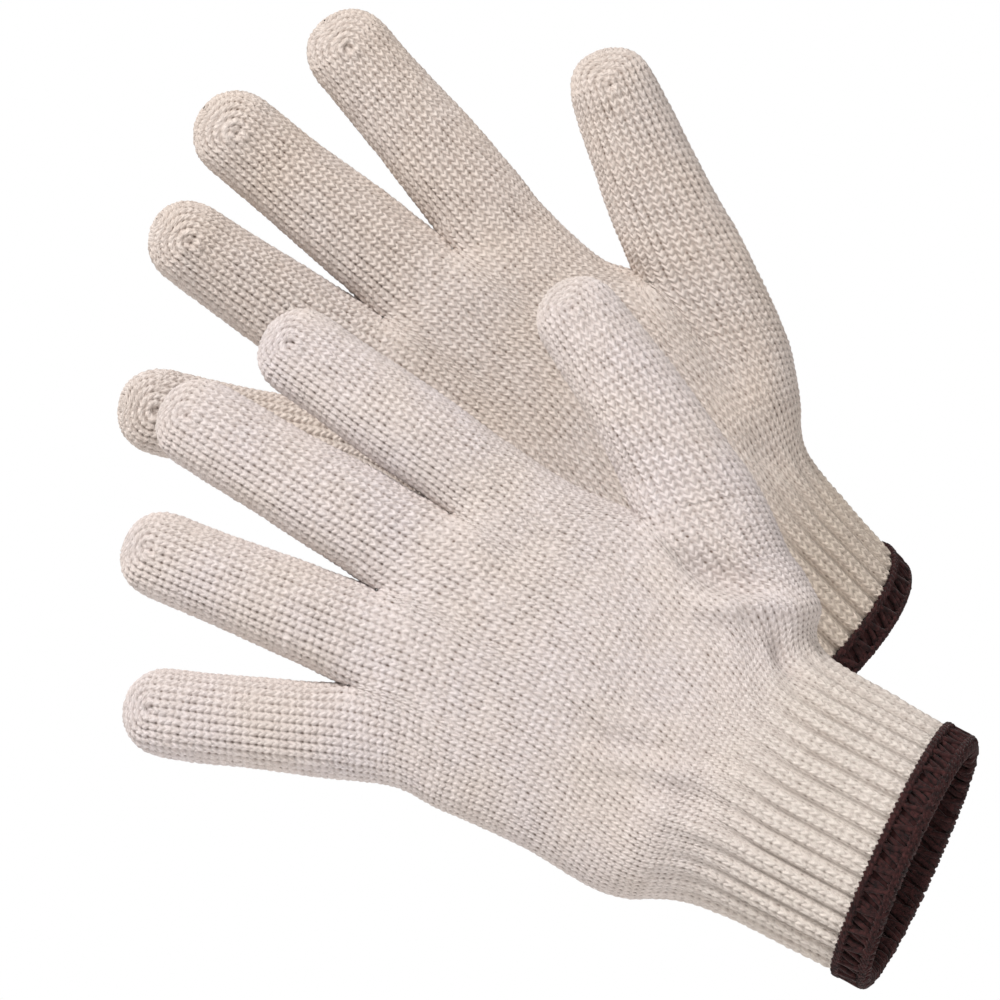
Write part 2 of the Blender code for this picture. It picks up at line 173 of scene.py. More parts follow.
# The palm's first and last wales on each finger's front, and then on its back.
FINGER_SPANS = {
    "index": (0, 13, 87, 103),
    "middle": (13, 25, 75, 87),
    "ring": (25, 37, 63, 75),
    "little": (37, 50, 50, 63),
}
FINGER_CROTCHES = {
    "index": (13, 87),
    "middle": (13, 25, 75, 87),
    "ring": (25, 37, 63, 75),
    "little": (37, 63),
}
WEB_HALF_DEPTH = 4.5
WEB_SET_BACK = 2.8
WALE_WIDTH = 2.3
YARN_RADIUS = 0.62
LEG_RISE = 0.42  # height of a leg's middle over its ends
LEG_START = 0.07  # of a wale's width, from the wale's middle
LEG_LEAN = 0.44  # of a wale's width, from one course to the next
LEG_MIDDLE, LEG_HALF = 0.40, 0.85  # in courses
HOLE_AT = 0.92  # of a course, where the holes between the wales lie
GAP_SHADE = 0.42  # of the gap shade colour, at the bottom of a gap between yarns: painted shade
GAP_FLOOR = -0.75
LEG_ACROSS = math.cos(math.atan(LEG_LEAN * WALE_WIDTH / COURSE))
TIP_TURN = 15.0  # from the end of a digit back to the point that its stitches curl round
TIP_HOLE = 0.4  # left open at the very end, and closed by one face
DOME_POWER = 2.2
DOME_STRETCH = 1.05
BASE_PLAY = 0.5  # by which a digit is slimmer than the line between its corners
FAR_BELOW = -40.0  # a distance along a digit that lies under any base
SPLIT_PAST = 16.0  # from a digit's first bend to where its two pieces meet
BLEND_GAP = 0.5  # from the course where two pieces meet
KNOT_COURSES = 6  # before the turning point, over which the knot at the tip is worked out
NO_KNOT = 99.0  # a distance from the turning point at which there is no knot
BACK_KNOT_SHIFT = 1.5  # the knot on a digit's back is this much smaller
LINING_GAP = 4  # courses at a closed tip that have no lining
# the lining's furrow value: painted shade that darkens the inside of the glove towards the gap shade
# colour
LINING_PAINTED_SHADE = 0.4
GROOVE_DEPTH = 0.18  # between two wales
HOLE_DEPTH = 0.36
# Half-widths and half-depths that space the wales round the sections.
PALM_SECTION = (60.0, 13.0)
WRIST_SECTION = (38.0, WRIST_DEPTH)
HAND_SECTION = (50.0, 16.0)
HAND_POWER = 2.2
# The first value only sets painted shade in the material: a furrow's depth outside, a fixed amount on the
# lining.
KNIT_VALUES = ("Furrow_shade", "Side", "Course", "Ribbed")

# ---------------------------------------------------------------- the overlocked edge's sizes

WRAPS = 128
WRAP_RADIUS = 0.84
WRAP_POINTS = 15
CROSSING_LIFT = 0.6
CHAIN_RADIUS = 0.55
CHAIN_POINTS = 8  # in one loop
# Place of each chain row in loops and round the band, and how far its loops swing.
CHAIN_ROWS = ((0.0, 0.0, 0.9), (0.5, 0.04, -0.8), (0.0, 0.38, 0.9), (0.5, 0.42, -0.8))
CORE_COLUMNS, CORE_ROWS = 96, 16
WRAP_SEEDS = {"left": 11, "right": 12}

# ---------------------------------------------------------------- colours, light and camera

# sRGB: light and warm patches, rib, shaded fibres, and a gap colour that is painted shade between and
# under the yarns.
COTTON = {
    "left": ((228, 219, 219), (228, 217, 211), (227, 218, 208), (188, 174, 167), (82, 60, 45)),
    # The right glove's colours are a warmer, slightly darker copy of the left's: painted shade, for the
    # warm shade it lies in behind the left glove.
    "right": ((228, 218, 213), (228, 215, 205), (226, 212, 196), (186, 170, 160), (78, 53, 34)),
}
THREAD = ((22, 8, 9), (70, 36, 35))
ELASTIC = ((205, 198, 184), (228, 222, 210))
FRAME_WIDTH = 0.278
CAMERA_DISTANCE = 10.0
SENSOR_WIDTH = 36.0
CENTRE = (-0.1167, 0.06, 0.100)
FLOOR_HEIGHT = -0.16
# Name, place, size, power and colour of each light.
LIGHTS = (
    ("key", (-1.15, -1.15, 1.75), 0.6, 45, (1.0, 0.995, 0.985)),
    ("back", (-0.9, 1.9, 1.3), 1.0, 16, (1.0, 0.99, 0.97)),
    ("fill", (1.2, -1.8, 0.3), 1.2, 9, (0.98, 0.99, 1.0)),
)


# ---------------------------------------------------------------- curves


def unit(vector):
    return np.asarray(vector, float) / np.linalg.norm(vector)


def smooth(x):
    x = np.clip(x, 0, 1)
    return x * x * (3 - 2 * x)


def smooth_curve(points, count):
    """Evenly spaced points on a Catmull-Rom curve through the given ones."""
    p = np.array(points, float)
    dense = finer(p, 20, periodic=False)
    steps = np.linalg.norm(np.diff(dense, axis=0), axis=1)
    along = np.concatenate([[0], np.cumsum(steps)])
    wanted = np.linspace(0, along[-1], count)
    return np.column_stack([np.interp(wanted, along, dense[:, k]) for k in range(p.shape[1])])


def finer(grid, factor, periodic, before=None, after=None):
    """Catmull-Rom points between the grid's first-axis points, factor of them to a step."""
    if periodic:
        padded = np.concatenate([grid[-1:], grid, grid[:2]])
    else:
        first = before if before is not None else 2 * grid[:1] - grid[1:2]
        last = after if after is not None else 2 * grid[-1:] - grid[-2:-1]
        padded = np.concatenate([first, grid, last])
    a, b, c, d = padded[:-3], padded[1:-2], padded[2:-1], padded[3:]
    t = (np.arange(factor) / factor).reshape((1, factor) + (1,) * (grid.ndim - 1))
    a, b, c, d = a[:, None], b[:, None], c[:, None], d[:, None]
    cubic = (3 * b - a - 3 * c + d) * t**3 + (2 * a - 5 * b + 4 * c - d) * t**2
    points = 0.5 * (cubic + (c - a) * t + 2 * b)
    points = points.reshape((-1,) + grid.shape[1:])
    return points if periodic else np.concatenate([points, grid[-1:]])


def section_table(width, depth, power):
    """Arc share, sideways share and signed depth share round a rounded section."""
    angle = np.linspace(0, 2 * math.pi, 721)
    c, s = np.cos(angle), np.sin(angle)
    x = np.sign(c) * np.abs(c) ** (2 / power)
    y = -np.sign(s) * np.abs(s) ** (2 / power)
    steps = np.hypot(np.diff(x * width), np.diff(y * depth))
    along = np.concatenate([[0], np.cumsum(steps)])
    return along / along[-1], x, y


def section_perimeter(width, depth, power):
    _, x, y = section_table(width, depth, power)
    return np.hypot(np.diff(x * width), np.diff(y * depth)).sum()


def section_shares(table, share):
    share = np.mod(share, 1.0)
    return np.interp(share, table[0], table[1]), np.interp(share, table[0], table[2])


def crotch_fill(distance):
    """From 0 at a crotch to 1 a crotch radius below it, along a quarter circle."""
    x = np.minimum(distance / CROTCH_RADIUS, 1)
    return 2 * x - x * x


def line_point(ends, shares):
    a, b = np.array(ends[0], float), np.array(ends[1], float)
    return a + (b - a) * np.asarray(shares)[:, None]


def lift(plane, y):
    """3-D points from (x, z) points and a y for each."""
    return np.column_stack([plane[:, 0], np.broadcast_to(y, len(plane)), plane[:, 1]])


# ---------------------------------------------------------------- the cuff's and wrist's rings


def section_length(glove, low, high):
    return np.linalg.norm(np.mean(glove[high], axis=0) - np.mean(glove[low], axis=0))


def elbow_way(glove):
    return unit(np.mean(glove["band_end"], axis=0) - np.mean(glove["wrist"], axis=0))


def out_way(glove, tilt):
    """Depth direction of a section that leans with the cuff."""
    elbow = elbow_way(glove)
    return np.array([-math.sin(tilt) * elbow[0], math.cos(tilt), -math.sin(tilt) * elbow[1]])


def cuff_ring(glove, share, places, spread=0.0):
    """Ring of the cuff at the given arc places, share 0 at the wrist and 1 at the rib's end."""
    ends = np.array(glove["wrist"], float) * (1 - share) + np.array(glove["cuff_end"], float) * share
    way = unit(ends[1] - ends[0])
    ends = np.array([ends[0] - way * spread, ends[1] + way * spread])
    half_depth = WRIST_DEPTH + (CUFF_DEPTH - WRIST_DEPTH) * share + spread
    table = section_table(np.linalg.norm(ends[1] - ends[0]) / 2, half_depth, 2.0)
    x, y = section_shares(table, places)
    middle = ends.mean(axis=0)
    start = np.mean(glove["wrist"], axis=0)
    centre_y = glove["wrist_y"] + np.dot(middle - start, elbow_way(glove)) * math.tan(glove["cuff_tilt"])
    points = lift(line_point(ends, (1 - x) / 2), centre_y)
    return points + (half_depth * y)[:, None] * out_way(glove, glove["cuff_tilt"])


def rib_places(share):
    """Arc places of the wales, drawn together into ribs away from the wrist."""
    even = np.array([0, 0.25, 0.5, 0.75])
    ribbed = np.array([0, 0.36, 0.72, 0.86])
    mix = smooth(share * 3)
    within = even * (1 - mix) + ribbed * mix
    return (np.arange(RIBS)[:, None] + within).ravel() / RIBS


def cuff_net(glove):
    """Rows of the cuff from the band to the wrist."""
    rows = []
    for k in range(CUFF_COURSES + 1):
        share = 1 - k / CUFF_COURSES
        rows.append(cuff_ring(glove, share, rib_places(share)))
    return np.array(rows)


# ---------------------------------------------------------------- digits


class Digit:
    """One finger or thumb: a bowed, drooping tube with a domed end, and the wales along it."""

    def __init__(self, glove, name):
        self.glove, self.name = glove, name
        self.size = DIGITS[name]
        self.front = self.size["front"]
        self.web_in = WEB if name != "little" else 0
        self.outer = self.size["outer"]
        self.wales = 2 * self.front + self.web_in + self.outer
        a, b = (np.array(p, float) for p in self.base_corners())
        tip = np.array(glove["tips"][name], float)
        side = glove["palm_side"]
        start_y = glove["palm_y"] + (THUMB_SET / 2 * side if name == "thumb" else 0)
        middle = (a + b) / 2
        self.start = np.array([middle[0], start_y, middle[1]])
        self.end = np.array([tip[0], start_y + glove["droop"][name] * side, tip[1]])
        self.way = unit([self.end[0] - self.start[0], 0, self.end[2] - self.start[2]])
        self.sideways = np.array([self.way[2], 0, -self.way[0]])
        self.flat_length = np.linalg.norm((self.end - self.start)[[0, 2]])
        self.length = np.linalg.norm(self.end - self.start)
        self.base_half = abs(np.dot(a - b, self.sideways[[0, 2]])) / 2 - BASE_PLAY
        self.table = section_table(self.size["mid"], self.size["depth"], FINGER_POWER)
        self.perimeter = section_perimeter(self.size["mid"], self.size["depth"], FINGER_POWER)
        offset = self.outer / 2
        self.places = (np.arange(self.wales) + offset) / self.wales
        self.make_profile()

    def base_corners(self):
        if self.name == "thumb":
            return self.glove["thumb_edge"][-1], self.glove["thumb_crotch"]
        k = FINGERS.index(self.name)
        return self.glove["crotches"][k], self.glove["crotches"][k + 1]

    def make_profile(self):
        """Distance along the skin from the base, against axial distance and shrink of the dome."""
        dome = self.size["end"] * DOME_STRETCH
        angle = np.linspace(0, math.pi / 2, 120)
        past = np.sin(angle) ** (2 / DOME_POWER)
        shrink = np.cos(angle) ** (2 / DOME_POWER)
        steps = np.hypot(np.diff(past * dome), np.diff(shrink * self.size["end"]))
        skin = self.length - dome + np.concatenate([[0], np.cumsum(steps)])
        self.skin = np.concatenate([[FAR_BELOW], skin])
        self.axial = np.concatenate([[FAR_BELOW], self.length - dome + past * dome])
        self.shrink = np.concatenate([[1.0], shrink])
        self.skin_length = skin[-1]

    def surface(self, skin, place):
        """Points at the given skin distances and arc places, arrays of one shape."""
        t = np.interp(skin, self.skin, self.axial) / self.length
        shrink = np.interp(skin, self.skin, self.shrink)
        x, y = section_shares(self.table, place)
        end = self.size["end"]
        half = np.interp(t, [0, 0.45, 0.85, 1], [self.base_half, self.size["mid"], end, end])
        depth = self.size["depth"] * np.interp(t, [0, 0.5, 1], [1, 0.98, 0.92])
        centre, sideways, depth_way = self.frames(t)
        across = (half * shrink * x)[..., None] * sideways
        return centre + across + (depth * shrink * y)[..., None] * depth_way

    def frames(self, t):
        """Centre, sideways and depth directions at shares t of the length."""
        bow = self.glove["bow"][self.name]
        droop = self.end[1] - self.start[1]
        t = t[..., None]
        centre = self.start + (self.end - self.start) * t + self.sideways * bow * 4 * t * (1 - t)
        centre[..., 1] = self.start[1] + droop * t[..., 0] * t[..., 0]
        slope = self.way + self.sideways * bow * 4 * (1 - 2 * t) / self.flat_length
        slope[..., 1] = 2 * droop * t[..., 0] / self.flat_length
        slope = slope / np.linalg.norm(slope, axis=-1, keepdims=True)
        sideways = np.cross([0, 1, 0], slope)
        sideways = sideways / np.linalg.norm(sideways, axis=-1, keepdims=True)
        sideways = sideways * np.sign(np.sum(sideways * self.sideways, axis=-1, keepdims=True))
        depth_way = np.cross(slope, sideways)
        depth_way = depth_way * np.sign(depth_way[..., 1:2])
        return centre, sideways, depth_way

    def along(self, point):
        return float(np.dot(np.asarray(point) - self.start, self.way))

    def bend_distances(self):
        """Axial distances of the two bends."""
        corners = [np.array(p, float) - self.start[[0, 2]] for p in self.base_corners()]
        reach = max(np.dot(corner, self.way[[0, 2]]) for corner in corners)
        first = reach + STUB
        return first, first + BEND_SHARE * (self.length - first)

    def place_base(self, fixed, level):
        """Fits the base line: fixed points {wale: point}, and {wale: axial level} where it is free."""
        n = self.wales
        known = {j: self.along(p) for j, p in fixed.items()}
        known.update(level)
        keys = sorted(known)
        loop = [keys[-1] - n] + keys + [keys[0] + n]
        values = [known[keys[-1]]] + [known[k] for k in keys] + [known[keys[0]]]
        j = np.arange(n)
        self.base_skin = np.interp(j, loop, values)
        base = self.surface(self.base_skin, self.places)
        self.shift = np.zeros((n, 3))
        fade_over = 4.5
        for wale in j:
            if wale in fixed:
                self.shift[wale] = fixed[wale] - base[wale]
                continue
            gaps = [(min(abs(wale - k), n - abs(wale - k)), k) for k in fixed]
            gap, nearest = min(gaps)
            pull = 1 - smooth(gap / fade_over)
            self.shift[wale] = (fixed[nearest] - base[nearest]) * pull

    def net(self):
        """Rows of points from the base to the closed tip."""
        self.turn_skin = self.skin_length - TIP_TURN
        self.tube_rows = round((self.turn_skin - self.base_skin.mean()) / COURSE)
        self.cap_rows = round(TIP_TURN / COURSE)
        rows = []
        for k in range(self.tube_rows):
            skin = self.base_skin + (self.turn_skin - self.base_skin) * k / self.tube_rows
            rows.append(self.shifted(skin, self.places, skin - self.base_skin))
        for k in range(self.cap_rows + 1):
            along = min(TIP_TURN * k / self.cap_rows, TIP_TURN - TIP_HOLE)
            skin = np.full(self.wales, self.turn_skin + along)
            rows.append(self.surface(skin, self.places))
        return np.array(rows)

    def stitch_map(self, u, v):
        """Pattern coordinates: straight along the digit, then in arcs round the turning point.

        Also the distance from the turning point and the angle round it.
        """
        place = np.mod((u + self.outer / 2) / self.wales, 1.0)
        middle = np.where(place < 0.5, 0.25, 0.75)
        along = np.clip((v - self.tube_rows) / self.cap_rows, -5, 1) * TIP_TURN
        shrink = np.interp(self.turn_skin + along, self.skin, self.shrink)
        wide = self.perimeter / self.wales
        sideways = (place - middle) * self.wales * wide * shrink
        radius = np.hypot(along, sideways)
        turned = along > 0
        u_turn = middle * self.wales - self.outer / 2 + np.where(sideways < 0, -radius, radius) / wide
        v_turn = self.tube_rows + radius * np.arctan2(along, np.abs(sideways)) / COURSE
        near = np.where(v > self.tube_rows - KNOT_COURSES, radius, NO_KNOT)
        near = np.where(place < 0.5, near, near + BACK_KNOT_SHIFT)
        return np.where(turned, u_turn, u), np.where(turned, v_turn, v), near, np.arctan2(along, sideways)

    def shifted(self, skin, place, distance):
        keep = 1 - smooth(distance / CROTCH_RADIUS)
        return self.surface(skin, place) + self.shift * keep[:, None]


# ---------------------------------------------------------------- the nets of a whole glove


def web_line(corner, y, way):
    """The bridge between two digits, from its front end to its back end."""
    e = np.linspace(-1, 1, WEB + 1)
    plane = np.array(corner, float) - np.outer(WEB_SET_BACK * e**2, way)
    return lift(plane, y + WEB_HALF_DEPTH * e)


def level_at(digit, corner):
    return digit.along((corner[0], 0, corner[1]))


def finger_base(glove, digit, k, webs):
    """The base line of finger k: its fixed points, and its axial levels where it is free."""
    fixed, level = {}, {}
    outer_side = 2 * digit.front + WEB
    if k > 0:
        for m in range(WEB + 1):
            fixed[(outer_side - WEB + digit.web_in + m) % digit.wales] = webs[k - 1][WEB - m]
    else:
        corner = level_at(digit, glove["crotches"][0])
        level = {j: corner for j in (0, *range(outer_side, digit.wales))}
    if k < len(webs):
        for m in range(WEB + 1):
            fixed[digit.front + m] = webs[k][m]
    else:
        level[digit.front] = level_at(digit, glove["crotches"][4])
    return fixed, level


def place_digits(glove):
    """The five digits with their base lines, and the bridge of the thumb."""
    digits = {name: Digit(glove, name) for name in ("thumb",) + FINGERS}
    webs = []
    for k in (1, 2, 3):
        way = unit(digits[FINGERS[k - 1]].way + digits[FINGERS[k]].way)[[0, 2]]
        webs.append(web_line(glove["crotches"][k], glove["palm_y"], way))
    for k, name in enumerate(FINGERS):
        digits[name].place_base(*finger_base(glove, digits[name], k, webs))
    palm_way = unit(np.mean(glove["crotches"], axis=0) - np.mean(glove["wrist"], axis=0))
    thumb = digits["thumb"]
    thumb_web = web_line(glove["thumb_crotch"], glove["palm_y"], unit(thumb.way[[0, 2]] + palm_way))
    fixed = {thumb.front + m: thumb_web[m] for m in range(WEB + 1)}
    thumb.place_base(fixed, {0: level_at(thumb, glove["thumb_edge"][-1])})
    return digits, thumb_web


def palm_foot(glove, thumb_web):
    """The ring between the lower hand and the four-finger palm."""
    ends = (glove["thumb_crotch"], glove["little_edge"][-1])
    half = np.linalg.norm(np.subtract(*ends)) / 2
    x, y = section_shares(section_table(half, PALM_FOOT_DEPTH, PALM_POWER), palm_places())
    ring = lift(line_point(ends, (1 - x) / 2), glove["palm_y"] + PALM_FOOT_DEPTH * y)
    fixed = {(PALM_OPEN + m) % PALM_WALES: thumb_web[WEB - m] for m in range(WEB + 1)}
    shifts = {k: fixed[k] - ring[k] for k in fixed}
    for k in range(PALM_WALES):
        if k in fixed:
            ring[k] = fixed[k]
        else:
            near = 0 if k < PALM_OPEN // 2 else PALM_OPEN
            ring[k] = ring[k] + shifts[near] * (1 - smooth(abs(k - near) / 7))
    return ring


def palm_places():
    return (np.arange(PALM_WALES) + WEB / 2) / PALM_WALES


def shared_columns(digit):
    """The palm's wales that run on into a finger, and the finger's own numbers for them."""
    low, high, back_low, back_high = FINGER_SPANS[digit.name]
    back = np.arange(back_high - back_low + 1)
    columns = np.concatenate([np.arange(low, high + 1), back_low + back])
    own = np.concatenate([np.arange(digit.front + 1), digit.front + digit.web_in + back])
    return columns, own % digit.wales


def palm_head(digits, made):
    ring = np.zeros((PALM_WALES, 3))
    for name in FINGERS:
        columns, own = shared_columns(digits[name])
        ring[columns] = made[name].rows[0][own]
    return ring


def patch(foot, head, side_a, side_b, s, r):
    """Row r in the glove's plane between two rings, bulged to follow the two side outlines."""
    rows = len(side_a) - 1
    here_a = side_a[round(r * rows)] - ((1 - r) * side_a[0] + r * side_a[-1])
    here_b = side_b[round(r * rows)] - ((1 - r) * side_b[0] + r * side_b[-1])
    s = s[:, None]
    return (1 - r) * foot + r * head + (1 - s) * here_a + s * here_b


def signed_mix(a, b, weight):
    """Root-mean-square mix of two signed depths."""
    size = np.sqrt((1 - weight) * a**2 + weight * b**2)
    return np.sign(a + b) * size


def palm_net(glove, foot, head):
    rows = PALM_COURSES
    places = palm_places()
    x, y = section_shares(section_table(*PALM_SECTION, PALM_POWER), places)
    s = (1 - x) / 2
    side_a = smooth_curve(glove["index_edge"], rows + 1)
    side_b = smooth_curve(glove["heel_edge"], rows + 1)
    foot_depth = foot[:, 1] - glove["palm_y"]
    head_depth = head[:, 1] - glove["palm_y"]
    net = []
    for row in range(rows + 1):
        r = row / rows
        plane = patch(foot[:, [0, 2]], head[:, [0, 2]], side_a, side_b, s, r)
        thick = (PALM_FOOT_DEPTH + (PALM_HEAD_DEPTH - PALM_FOOT_DEPTH) * r) * y
        fill = crotch_fill(np.linalg.norm(head[:, [0, 2]] - plane, axis=1))
        depth = signed_mix(head_depth, thick, fill)
        from_foot = np.linalg.norm(foot[:, [0, 2]] - plane, axis=1)
        depth = depth + (foot_depth - PALM_FOOT_DEPTH * y) * (1 - smooth(from_foot / 14))
        net.append(lift(plane, glove["palm_y"] + depth))
    net[0], net[-1] = foot, head
    return np.array(net)


def hand_head(thumb_first, foot):
    return np.concatenate([thumb_first[:THUMB_FRONT], foot[:PALM_OPEN], thumb_first[THUMB_BACK:]])


def hand_net(glove, head):
    rows = HAND_COURSES
    places = np.arange(HAND_WALES) / HAND_WALES
    foot = cuff_ring(glove, 0.0, places)
    x, y_round = section_shares(section_table(*WRIST_SECTION, 2.0), places)
    _, y_square = section_shares(section_table(*HAND_SECTION, HAND_POWER), places)
    s = (1 - x) / 2
    side_a = smooth_curve(glove["thumb_edge"], rows + 1)
    side_b = smooth_curve(glove["little_edge"], rows + 1)
    k = np.arange(HAND_WALES)
    column = np.minimum(k, HAND_WALES - k)  # 0 at the thumb side, 64 at the little finger's side
    near_crotch = np.exp(-(((column - THUMB_FRONT) / 5.0) ** 2))
    thumb_share = np.clip(1 - column / THUMB_FRONT, 0, 1)
    middle_y = glove["palm_y"] + THUMB_SET / 2 * glove["palm_side"] * thumb_share
    tops = head[:, 1] - middle_y
    foot_plane = foot_in_plane(glove, places)
    net = []
    for row in range(rows + 1):
        r = row / rows
        plane = patch(foot_plane, head[:, [0, 2]], side_a, side_b, s, r)
        reach = np.linalg.norm(head[:, [0, 2]] - plane, axis=1)
        head_pull = near_crotch * (1 - crotch_fill(reach)) + (1 - near_crotch) * smooth(r)
        size = WRIST_DEPTH + (PALM_FOOT_DEPTH + 1 - WRIST_DEPTH) * math.sin(r * math.pi / 2)
        thick = size * ((1 - r) * y_round + r * y_square)
        depth = signed_mix(thick, tops, head_pull)
        y = glove["wrist_y"] + (middle_y - glove["wrist_y"]) * r
        tilt = glove["cuff_tilt"] * (1 - r) ** 2
        net.append(lift(plane, y) + depth[:, None] * out_way(glove, tilt))
    net[0], net[-1] = foot, head
    return np.array(net)


def foot_in_plane(glove, places):
    ends = glove["wrist"]
    half = np.linalg.norm(np.subtract(*ends)) / 2
    x, _ = section_shares(section_table(half, WRIST_DEPTH, 2.0), places)
    return line_point(ends, (1 - x) / 2)


def relax(lower, upper, low_index, up_index, hold, reach, rounds):
    """Smooths wales across the line where two nets meet; hold, from 0 to 1, keeps a wale in place."""
    part = np.concatenate([lower[-reach - 1 :, low_index], upper[1 : reach + 1, up_index]])
    strength = (1 - hold)[None, :, None] * 0.5
    for _ in range(rounds):
        moved = (part[:-2] + part[2:]) / 2
        part[1:-1] += (moved - part[1:-1]) * strength
    lower[-reach - 1 :, low_index] = part[: reach + 1]
    upper[: reach + 1, up_index] = part[reach:]


def crotch_hold(columns, crotches, size):
    hold = np.zeros(len(columns))
    for crotch in crotches:
        hold = np.maximum(hold, 1 - smooth(np.abs(columns - crotch) / size))
    return hold


class Net:
    """A section of knitting: a grid of points with the rows that lie just outside it."""

    def __init__(self, name, rows, folds, digit=None):
        self.name, self.rows, self.folds, self.digit = name, rows, folds, digit
        self.before = self.after = None


def glove_nets(glove):
    digits, thumb_web = place_digits(glove)
    folds = glove["folds"]
    made = {name: Net(name, digit.net(), folds, digit) for name, digit in digits.items()}
    foot = palm_foot(glove, thumb_web)
    made["palm"] = Net("palm", palm_net(glove, foot, palm_head(digits, made)), folds)
    made["hand"] = Net("hand", hand_net(glove, hand_head(made["thumb"].rows[0], foot)), folds)
    made["cuff"] = Net("cuff", cuff_net(glove), folds)
    relax_seams(made, digits)
    tie_edges(made, digits)
    return made, digits


def relax_seams(made, digits):
    """Softens the kinks where the sections meet, but leaves the bridges between digits alone."""
    rows = {name: net.rows for name, net in made.items()}
    every = np.arange(HAND_WALES)
    relax(rows["cuff"], rows["hand"], every, every, np.zeros(HAND_WALES), reach=6, rounds=24)
    thumb_crotches = (THUMB_FRONT, HAND_BACK)
    shared = np.arange(THUMB_FRONT, HAND_BACK + 1)
    hold = crotch_hold(shared, thumb_crotches, 7)
    relax(rows["hand"], rows["palm"], shared, shared - THUMB_FRONT, hold, reach=8, rounds=40)
    own = np.concatenate([np.arange(THUMB_FRONT + 1), np.arange(THUMB_BACK, digits["thumb"].wales)])
    columns = np.where(own > THUMB_FRONT, own + HAND_BACK - THUMB_BACK, own)
    hold = crotch_hold(columns, thumb_crotches, 4)
    relax(rows["hand"], rows["thumb"], columns, own, hold, reach=5, rounds=16)
    for name in FINGERS:
        columns, own = shared_columns(digits[name])
        columns, own = columns[columns <= PALM_OPEN], own[columns <= PALM_OPEN]
        hold = crotch_hold(columns, FINGER_CROTCHES[name], 3.5)
        relax(rows["palm"], rows[name], columns, own, hold, reach=4, rounds=10)


def tie_edges(made, digits):
    """Gives each net the rows that continue it, so that curvature and normals run on."""
    cuff, hand, palm, thumb = (made[name] for name in ("cuff", "hand", "palm", "thumb"))
    front, back = THUMB_FRONT, HAND_BACK
    below, palm_next, thumb_next = hand.rows[-2], palm.rows[1], thumb.rows[1]
    cuff.before = 2 * cuff.rows[:1] - cuff.rows[1:2]
    cuff.after = hand.rows[1:2]
    hand.before = cuff.rows[-2:-1]
    hand.after = hand_head(thumb_next, palm_next)[None]
    first = [(below[front] + thumb_next[front]) / 2]
    last = [(below[back] + thumb_next[THUMB_BACK]) / 2]
    bridge = thumb_next[THUMB_BACK - 1 : front : -1]
    palm.before = np.concatenate([first, below[front + 1 : back], last, bridge])[None]
    first = [(below[front] + palm_next[0]) / 2]
    last = [(below[back] + palm_next[PALM_OPEN]) / 2]
    bridge = palm_next[:PALM_OPEN:-1]
    thumb.before = np.concatenate([below[:front], first, bridge, last, below[back + 1 :]])[None]
    palm.after = np.zeros((1, PALM_WALES, 3))
    for name in FINGERS:
        columns, own = shared_columns(digits[name])
        made[name].before = np.zeros((1, digits[name].wales, 3))
        made[name].before[0, own] = palm.rows[-2][columns]
        palm.after[0, columns] = made[name].rows[1][own]
    inner = np.arange(1, WEB)
    for a, b in zip(FINGERS, FINGERS[1:]):
        near, far = digits[a].front + inner, digits[b].wales - inner
        made[a].before[0, near] = made[b].rows[1][far]
        made[b].before[0, far] = made[a].rows[1][near]
    for name in digits:
        rows = made[name].rows
        made[name].after = 2 * rows[-1:] - rows[-2:-1]


# ---------------------------------------------------------------- stitches


def slow_noise(points, size, seed):
    """Smooth variation from -1 to 1 over space, repeated nowhere near."""
    random = np.random.default_rng(seed)
    total = 0
    for _ in range(6):
        wave = random.normal(size=3) / size
        total = total + np.sin(points @ wave * 2 + random.uniform(0, 6.28))
    return total / 3.2


def stitch_height(u, v):
    """Height in millimetres of plain knitting at wale and course coordinates.

    Each stitch shows two legs of yarn that spread from the wale's middle, where they come out
    of the stitch before, to its edges, where they go under the next one.
    """
    tau = v - np.floor(v)
    side = np.abs(u - np.floor(u) - 0.5)  # 0 in the middle of a wale, 0.5 between two wales
    height = np.full(u.shape, GAP_FLOOR)
    for offset in (-1, 0, 1):  # the courses before, here and after
        t = tau + offset
        middle = LEG_RISE * (1 - ((t - LEG_MIDDLE) / LEG_HALF) ** 2)
        centre = LEG_START + LEG_LEAN * t
        gap = np.minimum(np.abs(side - centre), np.abs(1 - side - centre))
        reach = gap * WALE_WIDTH * LEG_ACROSS / YARN_RADIUS
        height = np.maximum(height, middle - YARN_RADIUS * reach**2)
    edge = np.clip(side / 0.25 - 1, 0, 1)
    hole = edge**1.5 * (0.5 + 0.5 * np.cos(2 * math.pi * (tau - HOLE_AT))) ** 2
    return height - GROOVE_DEPTH * edge**2 - HOLE_DEPTH * hole


def uneven(fine, u, v):
    """Wale and course coordinates that wander a little, as hand-tight and loose stitches do."""
    return u + 0.07 * slow_noise(fine, 2.6, 41), v + 0.15 * slow_noise(fine, 3.1, 43)


def rib_ridge(u):
    """1 on the crest of a rib of two wales, -1 in the furrow of two."""
    within = (u / 4.0) % 1.0
    crest = np.sin(np.clip(within / 0.5, 0, 1) * math.pi) ** 0.6
    furrow = np.sin(np.clip((within - 0.5) / 0.5, 0, 1) * math.pi) ** 0.8
    return crest - 0.9 * furrow


